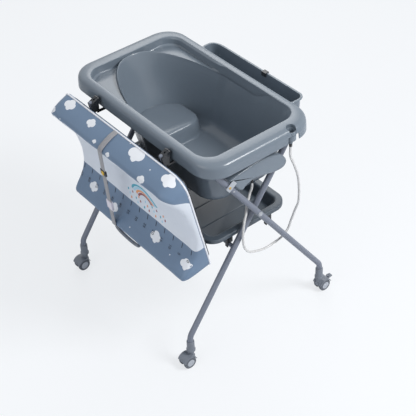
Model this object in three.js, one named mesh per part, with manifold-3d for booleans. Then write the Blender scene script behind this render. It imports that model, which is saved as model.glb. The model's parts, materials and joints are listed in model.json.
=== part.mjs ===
// Changing table with bathtub: a folding X-frame of steel tube on four castors.
// It carries a moulded bathtub, a storage tray, a toiletries trough, a drain hose
// and a padded changing mat that hangs beside the tub.
//
// Millimetres. +X runs towards the tub's foot end, where the drain is.
// +Y runs away from the mat and +Z is up.
// The origin is on the floor, under the middle of the tub.

import * as THREE from 'three';
import { mergeVertices } from 'three/addons/utils/BufferGeometryUtils.js';
import Module from 'manifold-3d';

const wasm = await Module();
wasm.setup();

// Clearances and overruns
const gap = 0.3;
const overrun = 4;
const weldDistance = 0.0003;

// Folding frame: two leg frames that cross at a bolt
const crossingBelowRim = 318;
const outerLegInset = 38;
const legGap = 5;
const frameTubeRadius = 11;
const frameTubeWall = 1.5;
const railInset = 26;
const railBelowRim = 18.5;
const innerLegBelowRim = 66.6;
const frameBendRadius = 48;
const footBendHeight = 137;
const crossBarDrop = 129;
const crossBarRadius = 8;
const legCapDepth = 4;
const legCapInsert = 12;

// Crossing bolt
const boltRadius = 4;
const boltHeadRadius = 8;
const boltHeadDepth = 4;
const boltWasherRadius = 9;

// Bathtub rim and skirt
const rimTop = 890;
const tubLength = 824;
const tubWidth = 476;
const rimCornerRadius = 92;
const skirtDepth = 52;
const tubWall = 3.2;
const rimEndBand = 60;
const rimSideBand = 35;
const innerCornerRadius = 60;

// Bathtub bowl
const bowlDepth = 262;
const floorHeadInset = 184;
const floorFootInset = 150;
const floorHalfWidth = 112;
const floorHeadRun = 90;
const floorFootRun = 76;
const archInset = 94;
const archRun = 215;
const lipHeight = 18;
const lipWidth = 14;
const ledgeDrop = 30;
const blendLength = 155;
const blendStart = 60;

// Raised seat in the bowl, drain and drain plug
const seatInset = 284;
const seatHalfLength = 108;
const seatHalfWidth = 102;
const seatHeight = 64;
const drainInset = 198;
const drainRadius = 13;
const plugOverlap = 4;
const plugFlangeDepth = 3;
const plugGripHeight = 10;
const plugGripWidth = 5;
const plugGripLength = 20;

// Cut in the skirt and the rim at the foot end, where the hose holder sits
const skirtCutWidth = 50;
const skirtCutDepth = 25;
const holderClearance = 1;

// Ribs under the rim, which rest on the front rail and on the inner legs
const frontRibX = 120;
const frontRibLength = 40;
const frontRibWidth = 12;
const rearRibWidth = 14;
const rearRibLength = 14;

// Hose holder, hose end piece and hose
const holderSideInset = 109;
const holderBelowRim = 14;
const holderRadius = 17;
const holderWall = 3;
const holderCupDepth = 26;
const holderNeckRadius = 7.5;
const holderNeckLength = 26;
const holderArmWidth = 16;
const holderArmDepth = 8;
const connectorRadius = 6;
const connectorLength = 16;
const hoseRadius = 4.5;

// Drain elbow on the foot end of the bowl
const elbowReach = 10;
const elbowY = 11;
const elbowRise = 62;
const elbowDrop = 16;
const elbowRadius = 5;
const elbowWall = 1.2;
const elbowBend = 7;
const elbowFlangeRadius = 9;
const elbowFlangeDepth = 2;

// Toiletries trough behind the tub
const troughHead = 248;
const troughFoot = 262;
const troughWidth = 86;
const troughBelowRim = 34;
const troughDepth = 66;
const troughWall = 2.6;
const troughLip = 6;
const troughLipDepth = 4;
const troughTaper = 6;
const troughCorner = 32;
const troughHeadRun = 54;
const troughHookX = 150;
const troughHookWidth = 40;
const troughHookDepth = 4;
const troughHookRise = 12;
const troughHookSlack = 1.6;
const troughBehind = 1;
const troughClipX = 48;
const troughClipLength = 30;
const troughClipWidth = 22;
const troughClipWall = 3;

// Storage tray
const trayEndClearance = 5;
const traySideInset = 53;
const trayHeight = 46;
const trayRimBand = 26;
const trayCorner = 58;
const trayWall = 2.6;
const trayLipDrop = 16;
const trayTaper = 14;
const trayFillet = 7;
const trayClipWidth = 20;
const trayClipWall = 4;
const trayClipInset = 14;

// Arched side cover between the legs
const coverHeight = 86;
const coverReach = 121;
const coverTailGap = 6;
const coverBelowSkirt = 30;
const coverClearance = 2;
const coverWall = 2.6;
const coverStandOff = 1;
const coverTabThickness = 2;
const coverTabWidth = 26;
const coverTabLength = 40;
const coverTabRise = 40;
const rivetRadius = 2.4;
const rivetHeadRadius = 5;
const rivetHeadDepth = 2.5;

// Mat: its hinge, its lean and the board
const matLeanDegrees = 12.3;
const hingeStandOff = 12;
const hingeBelowRim = 18;
const matBackOffset = 34.7;
const matTopDrop = 14;
const matHeight = 434;
const matHalfLength = 353;
const matBoardThickness = 6;
const matBoardInset = 12;
const matBoardCorner = 44;

// Slide rails, hinge arms and fixed brackets of the mat
const matRailX = 207;
const matRailRadius = 6;
const matRailAbove = 4;
const matRailLength = 485;
const sleeveLength = 38;
const sleeveStart = 2;
const sleeveWidth = 24;
const sleeveWall = 5.4;
const knuckleRadius = 7;
const hingePinRadius = 3;
const bracketThickness = 6;
const bracketSlotClearance = 5.5;
const earRadius = 9;
const bracketStem = 11;
const bracketArm = 9;
const bracketBelowSkirt = 25;
const bracketHeadWidth = 22;
const bracketHeadHeight = 15;
const bracketHeadSetBack = 2.4;

// Cushion
const cushionDepth = 122;
const cushionNearCorner = 66;
const cushionFarCorner = 32;
const cushionLowerCorner = 26;
const cushionTopRound = 56;
const cushionLowerRound = 26;

// Strap, slider, buckle and grab handle on the mat
const strapTopX = -25;
const strapBottomX = -72;
const strapWidth = 24;
const strapThickness = 2;
const strapLift = 1.4;
const handleX = -10;
const handleLength = 156;
const handleReach = 44;
const handleWidth = 16;
const handleThickness = 13;
const handleOffset = 128;
const buckleLength = 44;
const buckleWidth = 31;
const buckleThickness = 9;
const sliderLength = 24;
const sliderWidth = 30;
const sliderThickness = 7;

// Castors
const wheelRadius = 25;
const wheelWidth = 13.5;
const castorPlate = 16;
const wheelClearance = 1.3;
const axleRadius = 4;
const treadChamfer = 0.9;
const wheelDishRadius = 15;
const castorTrail = 18;
const hubInset = 4;
const hoodWall = 3.7;
const neckRadius = 11;
const neckRise = 16;
const stemRadius = 4;
const stemLength = 10;
const socketClearance = 2;
const socketFloor = 14;
const socketGrip = 34;
const socketRadius = 14.5;
const socketCollarRadius = 17;
const socketCollarDepth = 9;
const socketChamfer = 2;
const pedalLength = 15.4;
const pedalWidth = 16;
const pedalThickness = 4;
const pedalPinRadius = 2.4;
const pedalLugRadius = 5;
const pedalLugWidth = 5;
const pedalAngleDegrees = 26;

// Legs: they lean so that the front rail lies under the tub's rim
const outerLegX = tubLength / 2 - outerLegInset;
const innerLegX = outerLegX - 2 * frameTubeRadius - legGap;
const railHeight = rimTop - railBelowRim;
const crossingHeight = rimTop - crossingBelowRim;
const lean = Math.atan2(tubWidth / 2 - railInset, railHeight - crossingHeight);
const frontRailReach = (railHeight - crossingHeight) / Math.cos(lean);
const innerLegReach = (rimTop - innerLegBelowRim - crossingHeight) / Math.cos(lean);

// Tub: ends of its floor and of the arched lip, and what sits in it
const floorHead = tubLength / 2 - floorHeadInset;
const floorFoot = tubLength / 2 - floorFootInset;
const archHead = tubLength / 2 - archInset;
const floorHeight = rimTop - bowlDepth;
const ledgeHeight = rimTop - ledgeDrop;
const skirtBottom = rimTop - skirtDepth;
const seatX = seatInset - tubLength / 2;
const drainX = tubLength / 2 - drainInset;
const plugFlangeRadius = drainRadius + plugOverlap;

// Hose holder, elbow, trough and tray
const holderX = tubLength / 2 - holderRadius;
const holderY = tubWidth / 2 - holderSideInset;
const holderTop = rimTop - holderBelowRim;
const elbowHeight = floorHeight + elbowRise;
const troughTop = rimTop - troughBelowRim;
const trayHalfLength = innerLegX - frameTubeRadius - trayEndClearance;
const trayHalfWidth = tubWidth / 2 - traySideInset;

// Side covers and mat hinge
const coverBottom = skirtBottom - coverBelowSkirt - coverHeight;
const coverTabHeight = coverBottom + coverTabRise;
const hingeY = tubWidth / 2 + hingeStandOff;
const hingeZ = rimTop - hingeBelowRim;
const bracketBottom = skirtBottom - bracketBelowSkirt;
const bracketSlot = earRadius + bracketSlotClearance;
const matLean = THREE.MathUtils.degToRad(matLeanDegrees);

// Castors: hub, neck, stem and socket, from the wheel upwards
const hubRadius = wheelRadius - hubInset;
const neckTop = 2 * wheelRadius + neckRise;
const stemTop = neckTop + stemLength;
const socketBottom = neckTop + socketClearance;
const footTubeEnd = socketBottom + socketFloor;
const socketTop = footTubeEnd + socketGrip;

// Materials
const tubGrey = new THREE.MeshStandardMaterial({ color: 0x7c8894, roughness: 0.38, metalness: 0 });
const trayGrey = new THREE.MeshStandardMaterial({ color: 0x4d5861, roughness: 0.42, metalness: 0 });
const tubePaint = new THREE.MeshStandardMaterial({ color: 0x6a6f7d, roughness: 0.35, metalness: 0.4 });
const steel = new THREE.MeshStandardMaterial({ color: 0xb9bcc0, roughness: 0.3, metalness: 1 });
const blackPlastic = new THREE.MeshStandardMaterial({ color: 0x23262b, roughness: 0.5, metalness: 0 });
const castorGrey = new THREE.MeshStandardMaterial({ color: 0x767c86, roughness: 0.45, metalness: 0 });
const hoseClear = new THREE.MeshStandardMaterial({ color: 0xe9e7e6, roughness: 0.2, metalness: 0 });
const matCover = new THREE.MeshStandardMaterial({ color: 0x6b819b, roughness: 0.6, metalness: 0 });
const webbing = new THREE.MeshStandardMaterial({ color: 0x9a9a9e, roughness: 0.8, metalness: 0 });
const palePlastic = new THREE.MeshStandardMaterial({ color: 0xe6e2ea, roughness: 0.4, metalness: 0 });

const ends = [['near', 1], ['far', -1]];
const turningAxis = new THREE.Vector3(0, 1, 0);

// A geometry with merged corners and no faces without area.
function welded(geometry) {
  const bare = geometry.clone();
  bare.deleteAttribute('normal');
  bare.deleteAttribute('uv');
  const merged = mergeVertices(bare, weldDistance);
  const old = merged.index.array;
  const faces = [];
  for (let i = 0; i < old.length; i += 3) {
    const [a, b, c] = [old[i], old[i + 1], old[i + 2]];
    if (a !== b && b !== c && c !== a) faces.push(a, b, c);
  }
  merged.setIndex(faces);
  return merged;
}

// Turns a three.js geometry into a solid that can be cut or joined.
function solidOf(geometry) {
  const merged = welded(geometry);
  return new wasm.Manifold(new wasm.Mesh({
    numProp: 3,
    vertProperties: new Float32Array(merged.attributes.position.array),
    triVerts: new Uint32Array(merged.index.array),
  }));
}

// Turns a solid back into a three.js geometry.
function geometryOf(solid) {
  const data = solid.getMesh();
  const geometry = new THREE.BufferGeometry();
  geometry.setAttribute('position', new THREE.BufferAttribute(new Float32Array(data.vertProperties), 3));
  geometry.setIndex(new THREE.BufferAttribute(new Uint32Array(data.triVerts), 1));
  return geometry;
}

function joined(first, ...others) {
  let solid = solidOf(first);
  for (const other of others) solid = solid.add(solidOf(other));
  return geometryOf(solid);
}

function cut(first, ...others) {
  let solid = solidOf(first);
  for (const other of others) solid = solid.subtract(solidOf(other));
  return geometryOf(solid);
}

// A mesh with its name and material, placed in a group.
function add(group, name, geometry, material) {
  const mesh = new THREE.Mesh(geometry, material);
  mesh.name = name;
  group.add(mesh);
  return mesh;
}

function point(x, y, z) {
  return new THREE.Vector3(x, y, z);
}

// A box between its lowest and its highest corner.
function boxBetween(x0, x1, y0, y1, z0, z1) {
  const box = new THREE.BoxGeometry(x1 - x0, y1 - y0, z1 - z0);
  return box.translate((x0 + x1) / 2, (y0 + y1) / 2, (z0 + z1) / 2);
}

// A round bar between two points.
function barBetween(start, end, radius, sides = 12) {
  const along = end.clone().sub(start);
  const bar = new THREE.CylinderGeometry(radius, radius, along.length(), sides);
  bar.applyQuaternion(new THREE.Quaternion().setFromUnitVectors(turningAxis, along.clone().normalize()));
  const middle = start.clone().add(end).multiplyScalar(0.5);
  return bar.translate(middle.x, middle.y, middle.z);
}

// A round bar along X, from one X to another.
function barAcross(fromX, toX, y, z, radius, sides = 12) {
  return barBetween(point(fromX, y, z), point(toX, y, z), radius, sides);
}

// A turned piece: pairs of radius and distance along its axis, from a start point.
function turnedAlong(profile, start, direction, sides = 12) {
  const points = profile.map(([radius, along]) => new THREE.Vector2(radius, along));
  const lathe = new THREE.LatheGeometry(points, sides);
  lathe.applyQuaternion(new THREE.Quaternion().setFromUnitVectors(turningAxis, direction));
  return lathe.translate(start.x, start.y, start.z);
}

// A plate with its outline in the YZ plane, from one X to another.
function plateAcross(shape, fromX, toX, steps = 6) {
  const plate = new THREE.ExtrudeGeometry(shape, {
    depth: toX - fromX, bevelEnabled: false, curveSegments: steps,
  });
  const axes = new THREE.Matrix4().makeBasis(point(0, 1, 0), point(0, 0, 1), point(1, 0, 0));
  return plate.applyMatrix4(axes).translate(fromX, 0, 0);
}

// A route through given stations; each station gets one ring of a tube.
class Route extends THREE.Curve {
  constructor(stations) {
    super();
    this.stations = stations;
  }

  getPoint(t) {
    const place = t * (this.stations.length - 1);
    const first = Math.min(Math.floor(place), this.stations.length - 2);
    return this.stations[first].clone().lerp(this.stations[first + 1], place - first);
  }

  getPointAt(u) {
    return this.getPoint(u);
  }

  getTangentAt(u) {
    const last = this.stations.length - 1;
    const index = Math.round(u * last);
    const tangent = point(0, 0, 0);
    if (index > 0) tangent.add(this.stations[index].clone().sub(this.stations[index - 1]).normalize());
    if (index < last) tangent.add(this.stations[index + 1].clone().sub(this.stations[index]).normalize());
    return tangent.normalize();
  }
}

// Stations along straight runs that are joined by arcs of one bend radius.
function bentStations(corners, bendRadius, arcStep) {
  const stations = [corners[0].clone()];
  for (let i = 1; i < corners.length - 1; i++) {
    const into = corners[i].clone().sub(corners[i - 1]).normalize();
    const out = corners[i + 1].clone().sub(corners[i]).normalize();
    const turn = into.angleTo(out);
    const start = corners[i].clone().addScaledVector(into, -bendRadius * Math.tan(turn / 2));
    const axis = into.clone().cross(out).normalize();
    const centre = start.clone().addScaledVector(axis.clone().cross(into), bendRadius);
    const steps = Math.ceil(turn / arcStep);
    for (let k = 0; k <= steps; k++) {
      const arm = start.clone().sub(centre).applyAxisAngle(axis, turn * k / steps);
      stations.push(centre.clone().add(arm));
    }
  }
  stations.push(corners[corners.length - 1].clone());
  return stations;
}

// A tube along stations, open at both ends, or a solid bar where the wall is zero.
function tubeAlong(stations, radius, wall, halfSides = 5) {
  const section = new THREE.Shape();
  section.absarc(0, 0, radius, 0, 2 * Math.PI, false);
  if (wall > 0) {
    const bore = new THREE.Path();
    bore.absarc(0, 0, radius - wall, 0, 2 * Math.PI, true);
    section.holes.push(bore);
  }
  return new THREE.ExtrudeGeometry(section, {
    steps: stations.length - 1, bevelEnabled: false, curveSegments: halfSides,
    extrudePath: new Route(stations),
  });
}

// Turns the faces of a closed mesh outwards where they point in.
function facedOut(geometry) {
  const place = geometry.attributes.position;
  const index = geometry.index.array;
  const [a, b, c] = [point(0, 0, 0), point(0, 0, 0), point(0, 0, 0)];
  let volume = 0;
  for (let i = 0; i < index.length; i += 3) {
    a.fromBufferAttribute(place, index[i]);
    b.fromBufferAttribute(place, index[i + 1]);
    c.fromBufferAttribute(place, index[i + 2]);
    volume += a.dot(b.cross(c));
  }
  if (volume < 0) {
    for (let i = 0; i < index.length; i += 3) {
      [index[i], index[i + 1]] = [index[i + 1], index[i]];
    }
  }
  return geometry;
}

// A closed skin over rings of equally many points, with a flat fan at each end.
function loft(rings) {
  const count = rings[0].length;
  const places = [];
  const faces = [];
  for (const ring of rings) {
    for (const p of ring) places.push(p.x, p.y, p.z);
  }
  for (let r = 0; r < rings.length - 1; r++) {
    for (let i = 0; i < count; i++) {
      const a = r * count + i;
      const b = r * count + (i + 1) % count;
      faces.push(a, b, b + count, a, b + count, a + count);
    }
  }
  for (const [row, forward] of [[0, false], [rings.length - 1, true]]) {
    const middle = rings[row].reduce((sum, p) => sum.add(p), point(0, 0, 0)).divideScalar(count);
    const hub = places.length / 3;
    places.push(middle.x, middle.y, middle.z);
    for (let i = 0; i < count; i++) {
      const a = row * count + i;
      const b = row * count + (i + 1) % count;
      if (forward) faces.push(a, b, hub);
      else faces.push(b, a, hub);
    }
  }
  const geometry = new THREE.BufferGeometry();
  geometry.setAttribute('position', new THREE.BufferAttribute(new Float32Array(places), 3));
  geometry.setIndex(new THREE.BufferAttribute(new Uint32Array(faces), 1));
  return facedOut(geometry);
}

// An outline in plan with four elliptic corners. head and foot are the reach of
// its two ends, half is half its width, and the runs and sides are corner sizes.
function planOutline(plan, steps) {
  const { head, foot, half, headRun, headSide, footRun, footSide } = plan;
  const corners = [
    { x: foot - footRun, y: half - footSide, rx: footRun, ry: footSide, from: 0, n: steps.foot },
    { x: headRun - head, y: half - headSide, rx: headRun, ry: headSide, from: 1, n: steps.head },
    { x: headRun - head, y: headSide - half, rx: headRun, ry: headSide, from: 2, n: steps.head },
    { x: foot - footRun, y: footSide - half, rx: footRun, ry: footSide, from: 3, n: steps.foot },
  ];
  const onCorner = (corner, share) => {
    const angle = (corner.from + share) * Math.PI / 2;
    return new THREE.Vector2(
      corner.x + corner.rx * Math.cos(angle), corner.y + corner.ry * Math.sin(angle));
  };
  const points = [];
  corners.forEach((corner, c) => {
    for (let k = 0; k <= corner.n; k++) points.push(onCorner(corner, k / corner.n));
    if (c % 2 === 0) {
      const start = onCorner(corner, 1);
      const end = onCorner(corners[c + 1], 0);
      for (let k = 1; k < steps.side; k++) points.push(start.clone().lerp(end, k / steps.side));
    }
  });
  return points;
}

// The same plan grown outwards all round, corners included.
function grown(plan, by) {
  return {
    head: plan.head + by, foot: plan.foot + by, half: plan.half + by,
    headRun: plan.headRun + by, headSide: plan.headSide + by,
    footRun: plan.footRun + by, footSide: plan.footSide + by,
  };
}

// A plan between two others: 0 gives the first and 1 the second, by foot, side and head.
function between(a, b, foot, side, head) {
  const mix = THREE.MathUtils.lerp;
  return {
    head: mix(a.head, b.head, head), foot: mix(a.foot, b.foot, foot), half: mix(a.half, b.half, side),
    headRun: mix(a.headRun, b.headRun, head), headSide: mix(a.headSide, b.headSide, side),
    footRun: mix(a.footRun, b.footRun, foot), footSide: mix(a.footSide, b.footSide, side),
  };
}

// A plan that is alike at both ends.
function evenPlan(length, half, corner) {
  return {
    head: length, foot: length, half,
    headRun: corner, headSide: corner, footRun: corner, footSide: corner,
  };
}

// A ring over a plan, at a height that may change along X.
function ringOver(plan, steps, heightAt) {
  return planOutline(plan, steps).map((p) => point(p.x, p.y, heightAt(p.x)));
}

function flat(height) {
  return () => height;
}

// A point on a leg's centre line, measured up from the crossing.
function onOuterLeg(x, reach) {
  return point(x, -reach * Math.sin(lean), crossingHeight + reach * Math.cos(lean));
}

function onInnerLeg(x, reach) {
  return point(x, reach * Math.sin(lean), crossingHeight + reach * Math.cos(lean));
}

// Where the legs bend down to the castors, and the heights of what they carry
const castorY = (crossingHeight - footBendHeight) * Math.tan(lean);
const rail = onOuterLeg(0, frontRailReach);
const crossBar = onInnerLeg(0, -crossBarDrop / Math.cos(lean));
const frameArcStep = Math.PI / 14;

function outerLegSolid(side) {
  const foot = onOuterLeg(side * outerLegX, -(crossingHeight - footBendHeight) / Math.cos(lean));
  return barBetween(foot, onOuterLeg(side * outerLegX, frontRailReach), frameTubeRadius + gap, 24);
}

function innerLegSolid(side) {
  const foot = onInnerLeg(side * innerLegX, -(crossingHeight - footBendHeight) / Math.cos(lean));
  return barBetween(foot, onInnerLeg(side * innerLegX, innerLegReach), frameTubeRadius + gap, 24);
}

// The hole for the crossing bolt, through both legs of one end
function boltHole(side) {
  const inner = side * (innerLegX - 2 * frameTubeRadius);
  const outer = side * (outerLegX + 2 * frameTubeRadius);
  return barAcross(inner, outer, 0, crossingHeight, boltRadius + gap);
}

// A place for the rivet of the side cover's tab, on the outer leg
function rivetPlace(side) {
  const reach = (coverTabHeight - crossingHeight) / Math.cos(lean);
  return onOuterLeg(side * outerLegX, reach);
}

function rivetHole(side) {
  const centre = rivetPlace(side);
  const outer = side * (outerLegX + 3 * frameTubeRadius);
  return barAcross(centre.x, outer, centre.y, centre.z, rivetRadius + gap);
}

function outerFrame(group) {
  const stations = bentStations([
    point(outerLegX, castorY, footTubeEnd),
    point(outerLegX, castorY, footBendHeight),
    onOuterLeg(outerLegX, frontRailReach),
    onOuterLeg(-outerLegX, frontRailReach),
    point(-outerLegX, castorY, footBendHeight),
    point(-outerLegX, castorY, footTubeEnd),
  ], frameBendRadius, frameArcStep);
  const tube = tubeAlong(stations, frameTubeRadius, frameTubeWall);
  const drilled = cut(tube, boltHole(1), boltHole(-1), rivetHole(1), rivetHole(-1));
  add(group, 'outer_frame_tube', drilled, tubePaint);

  const bar = barAcross(-outerLegX, outerLegX, -crossBar.y, crossBar.z, crossBarRadius);
  add(group, 'outer_cross_bar', cut(bar, outerLegSolid(1), outerLegSolid(-1)), tubePaint);
}

function innerFrame(group) {
  for (const [end, side] of ends) {
    const stations = bentStations([
      point(side * innerLegX, -castorY, footTubeEnd),
      point(side * innerLegX, -castorY, footBendHeight),
      onInnerLeg(side * innerLegX, innerLegReach),
    ], frameBendRadius, frameArcStep);
    const tube = tubeAlong(stations, frameTubeRadius, frameTubeWall);
    add(group, `inner_leg_${end}`, cut(tube, boltHole(side)), tubePaint);

    const bore = frameTubeRadius - frameTubeWall - 2 * gap;
    const cap = turnedAlong([
      [0, -legCapInsert], [bore, -legCapInsert], [bore, gap], [frameTubeRadius, gap],
      [frameTubeRadius, legCapDepth / 2], [bore, legCapDepth], [0, legCapDepth],
    ], onInnerLeg(side * innerLegX, innerLegReach), point(0, Math.sin(lean), Math.cos(lean)));
    add(group, `inner_leg_cap_${end}`, cap, blackPlastic);
  }
  const bar = barAcross(-innerLegX, innerLegX, crossBar.y, crossBar.z, crossBarRadius);
  add(group, 'inner_cross_bar', cut(bar, innerLegSolid(1), innerLegSolid(-1)), tubePaint);
}

// Bolt with its nut inside, a washer between the legs and its head outside.
function pivotBolts(group) {
  const nut = innerLegX - frameTubeRadius - gap;
  const washerIn = innerLegX + frameTubeRadius + gap;
  const washerOut = outerLegX - frameTubeRadius - gap;
  const head = outerLegX + frameTubeRadius + gap;
  for (const [end, side] of ends) {
    const bolt = turnedAlong([
      [0, nut - boltHeadDepth], [boltHeadRadius, nut - boltHeadDepth],
      [boltHeadRadius, nut], [boltRadius, nut],
      [boltRadius, washerIn], [boltWasherRadius, washerIn],
      [boltWasherRadius, washerOut], [boltRadius, washerOut],
      [boltRadius, head], [boltHeadRadius, head],
      [boltHeadRadius, head + boltHeadDepth / 2], [boltRadius, head + boltHeadDepth],
      [0, head + boltHeadDepth],
    ], point(0, 0, crossingHeight), point(side, 0, 0));
    add(group, `pivot_bolt_${end}`, bolt, steel);
  }
}

// Outline of the side cover, as shares of its height and of its length at that height
const cover_top_shares = [
  [0, 0.76], [0.2, 0.88], [0.4, 0.97], [0.6, 1], [0.81, 0.85], [0.945, 0.58], [1, 0.24],
];
const cover_bottom_shares = [
  [0.94, 0.03], [0.78, 0], [0.64, 0.07], [0.47, 0.18], [0.31, 0.22], [0.17, 0.13], [0.03, 0],
];

// Where the cover starts beside the outer leg, at a height
function coverTail(height) {
  const legEdge = (frameTubeRadius / Math.cos(lean)) + coverTailGap;
  return legEdge - (height - crossingHeight) * Math.tan(lean);
}

function coverOutline(inset) {
  const middleZ = coverBottom + coverHeight / 2;
  const points = [...cover_top_shares, ...cover_bottom_shares].map(([along, rise]) => {
    const height = coverBottom + rise * coverHeight;
    return new THREE.Vector2(THREE.MathUtils.lerp(coverTail(height), coverReach, along), height);
  });
  const count = points.length;
  return points.map((p, i) => {
    const before = points[(i + count - 1) % count];
    const after = points[(i + 1) % count];
    const first = p.clone().sub(before).normalize();
    const second = after.clone().sub(p).normalize();
    const inward = new THREE.Vector2(first.y + second.y, -first.x - second.x).normalize();
    const half = Math.sqrt((1 + first.dot(second)) / 2);
    return p.clone().addScaledVector(inward, inset / half).sub(new THREE.Vector2(0, middleZ));
  });
}

function sideCovers(group) {
  const faceX = outerLegX + frameTubeRadius + coverStandOff;
  const backX = innerLegX + frameTubeRadius + coverClearance;
  const middleZ = coverBottom + coverHeight / 2;
  for (const [end, side] of ends) {
    const body = plateAcross(new THREE.Shape(coverOutline(0)), backX, faceX);
    const hollow = plateAcross(
      new THREE.Shape(coverOutline(coverWall)), backX - overrun, faceX - coverWall);
    const cover = cut(body, hollow);
    if (side < 0) cover.applyMatrix4(new THREE.Matrix4().makeScale(-1, 1, 1));
    const mesh = add(group, `side_cover_${end}`, side < 0 ? turnedOver(cover) : cover, tubGrey);
    mesh.position.set(0, 0, middleZ);

    const tabBack = faceX + gap;
    const tab = boxBetween(
      tabBack, tabBack + coverTabThickness, -coverTabWidth / 2, coverTabLength - coverTabWidth / 2,
      -coverTabWidth / 2, coverTabWidth / 2);
    tab.rotateX(lean);
    const place = rivetPlace(side);
    tab.translate(0, place.y, place.z);
    if (side < 0) tab.rotateY(Math.PI);
    if (side < 0) tab.translate(0, 0, 2 * place.z);
    add(group, `cover_tab_${end}`, cut(tab, rivetHole(side)), steel);

    const rivet = turnedAlong([
      [0, outerLegX + frameTubeRadius / 2], [rivetRadius, outerLegX + frameTubeRadius / 2],
      [rivetRadius, tabBack + coverTabThickness + gap],
      [rivetHeadRadius, tabBack + coverTabThickness + gap],
      [rivetHeadRadius / 2, tabBack + coverTabThickness + rivetHeadDepth],
      [0, tabBack + coverTabThickness + rivetHeadDepth],
    ], point(0, place.y, place.z), point(side, 0, 0));
    add(group, `cover_rivet_${end}`, rivet, steel);
  }
}

// Reverses the faces of a mirrored geometry.
function turnedOver(geometry) {
  const index = geometry.index.array;
  for (let i = 0; i < index.length; i += 3) [index[i], index[i + 1]] = [index[i + 1], index[i]];
  return geometry;
}

// Plans of the bathtub: rim outside and inside, the arched lip, and the floor
const cornerSteps = 4;
const halvings = 40;
const rimOuter = evenPlan(tubLength / 2, tubWidth / 2, rimCornerRadius);
const rimInner = evenPlan(tubLength / 2 - rimEndBand, tubWidth / 2 - rimSideBand, innerCornerRadius);
const arch_side_share = 0.96;
const ledge_width_share = 0.972;
const archPlan = {
  head: archHead, foot: rimInner.foot, half: rimInner.half,
  headRun: archRun, headSide: rimInner.half * arch_side_share,
  footRun: innerCornerRadius, footSide: innerCornerRadius,
};
const floorPlan = {
  head: floorHead, foot: floorFoot, half: floorHalfWidth,
  headRun: floorHeadRun, headSide: floorHalfWidth * arch_side_share,
  footRun: floorFootRun, footSide: floorFootRun,
};
const rays = tubRays();

// Bowl rings: how far down each lies, and how far out at the foot, the sides and the head
const bowl_shares = [
  [0.023, 0.95, 0.956, 0.99], [0.053, 0.9, 0.923, 0.96], [0.153, 0.79, 0.885, 0.9],
  [0.45, 0.69, 0.75, 0.66], [0.75, 0.6, 0.6, 0.4], [0.88, 0.52, 0.5, 0.25],
  [0.955, 0.36, 0.32, 0.12], [0.99, 0.16, 0.12, 0.04], [1, 0, 0, 0],
];

// Rim rings: how far across the band each lies, and how far it falls in skirt depths
const rim_shares = [[0.02, 0.55], [0.1, 0.22], [0.22, 0.08], [0.45, 0.02], [0.8, 0], [1, 0.03]];

// A value that is one thing along the sides and another round the head end.
function headBlend(atSides, atHead) {
  return (x) => {
    const share = THREE.MathUtils.smoothstep(-x - blendStart, 0, blendLength);
    return THREE.MathUtils.lerp(atSides, atHead, share);
  };
}

// True where a place lies within a plan.
function within(plan, x, y) {
  const side = Math.abs(y);
  if (x > plan.foot || x < -plan.head || side > plan.half) return false;
  const pastFoot = (x - plan.foot + plan.footRun) / plan.footRun;
  const besideFoot = (side - plan.half + plan.footSide) / plan.footSide;
  if (pastFoot > 0 && besideFoot > 0) return Math.hypot(pastFoot, besideFoot) <= 1;
  const pastHead = (plan.headRun - plan.head - x) / plan.headRun;
  const besideHead = (side - plan.half + plan.headSide) / plan.headSide;
  if (pastHead > 0 && besideHead > 0) return Math.hypot(pastHead, besideHead) <= 1;
  return true;
}

// Rays that every ring of the tub crosses once, from the foot end round the +Y side.
function tubRays() {
  const outline = planOutline(rimOuter, { foot: cornerSteps, head: cornerSteps, side: 1 });
  const footCorner = outline.slice(0, cornerSteps + 1);
  const headCorner = outline.slice(cornerSteps + 1, 2 * cornerSteps + 2);
  const footX = rimInner.foot - rimCornerRadius - innerCornerRadius;
  const archX = archRun - archHead;
  const ray = (x, target) => ({ x, toward: target.clone().sub(new THREE.Vector2(x, 0)).normalize() });
  const beside = (x) => ({ x, toward: new THREE.Vector2(0, 1) });
  const [footFirst, headLast] = [footCorner[0], headCorner[cornerSteps]];
  const half = [
    ray(footX, new THREE.Vector2(rimOuter.foot, 0)),
    ray(footX, new THREE.Vector2(rimOuter.foot, footFirst.y / 2)),
    ...footCorner.map((target) => ray(footX, target)),
    ray(footX, footCorner[cornerSteps].clone().setX((footCorner[cornerSteps].x + footX) / 2)),
    ...[0, 1 / 3, 2 / 3, 1].map((share) => beside(THREE.MathUtils.lerp(footX, archX, share))),
    ...[1 / 3, 2 / 3].map((share) => (
      ray(archX, headCorner[0].clone().setX(THREE.MathUtils.lerp(archX, headCorner[0].x, share))))),
    ...headCorner.map((target) => ray(archX, target)),
    ...[2 / 3, 1 / 3].map((share) => ray(archX, headLast.clone().setY(headLast.y * share))),
    ray(archX, new THREE.Vector2(-rimOuter.head, 0)),
  ];
  const back = half.slice(1, -1).reverse().map((r) => (
    { x: r.x, toward: new THREE.Vector2(r.toward.x, -r.toward.y) }));
  return [...half, ...back];
}

// Where a ray leaves a plan, found by halving.
function leaving(plan, ray) {
  let [inside, outside] = [0, tubLength];
  for (let k = 0; k < halvings; k++) {
    const middle = (inside + outside) / 2;
    if (within(plan, ray.x + ray.toward.x * middle, ray.toward.y * middle)) inside = middle;
    else outside = middle;
  }
  return new THREE.Vector2(ray.x + ray.toward.x * inside, ray.toward.y * inside);
}

function tubRing(plan, heightAt) {
  return rays.map((ray) => leaving(plan, ray)).map((p) => point(p.x, p.y, heightAt(p.x)));
}

// A ring below the rim, drawn in at the head end so that it clears the front rail.
function drawnRing(plan, heightAt) {
  const drawIn = headBlend(0, 3 - 3 * ledge_width_share);
  return tubRing(plan, heightAt).map((p) => (
    p.setY(p.y * Math.max(ledge_width_share, 1 - drawIn(p.x)))));
}

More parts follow.
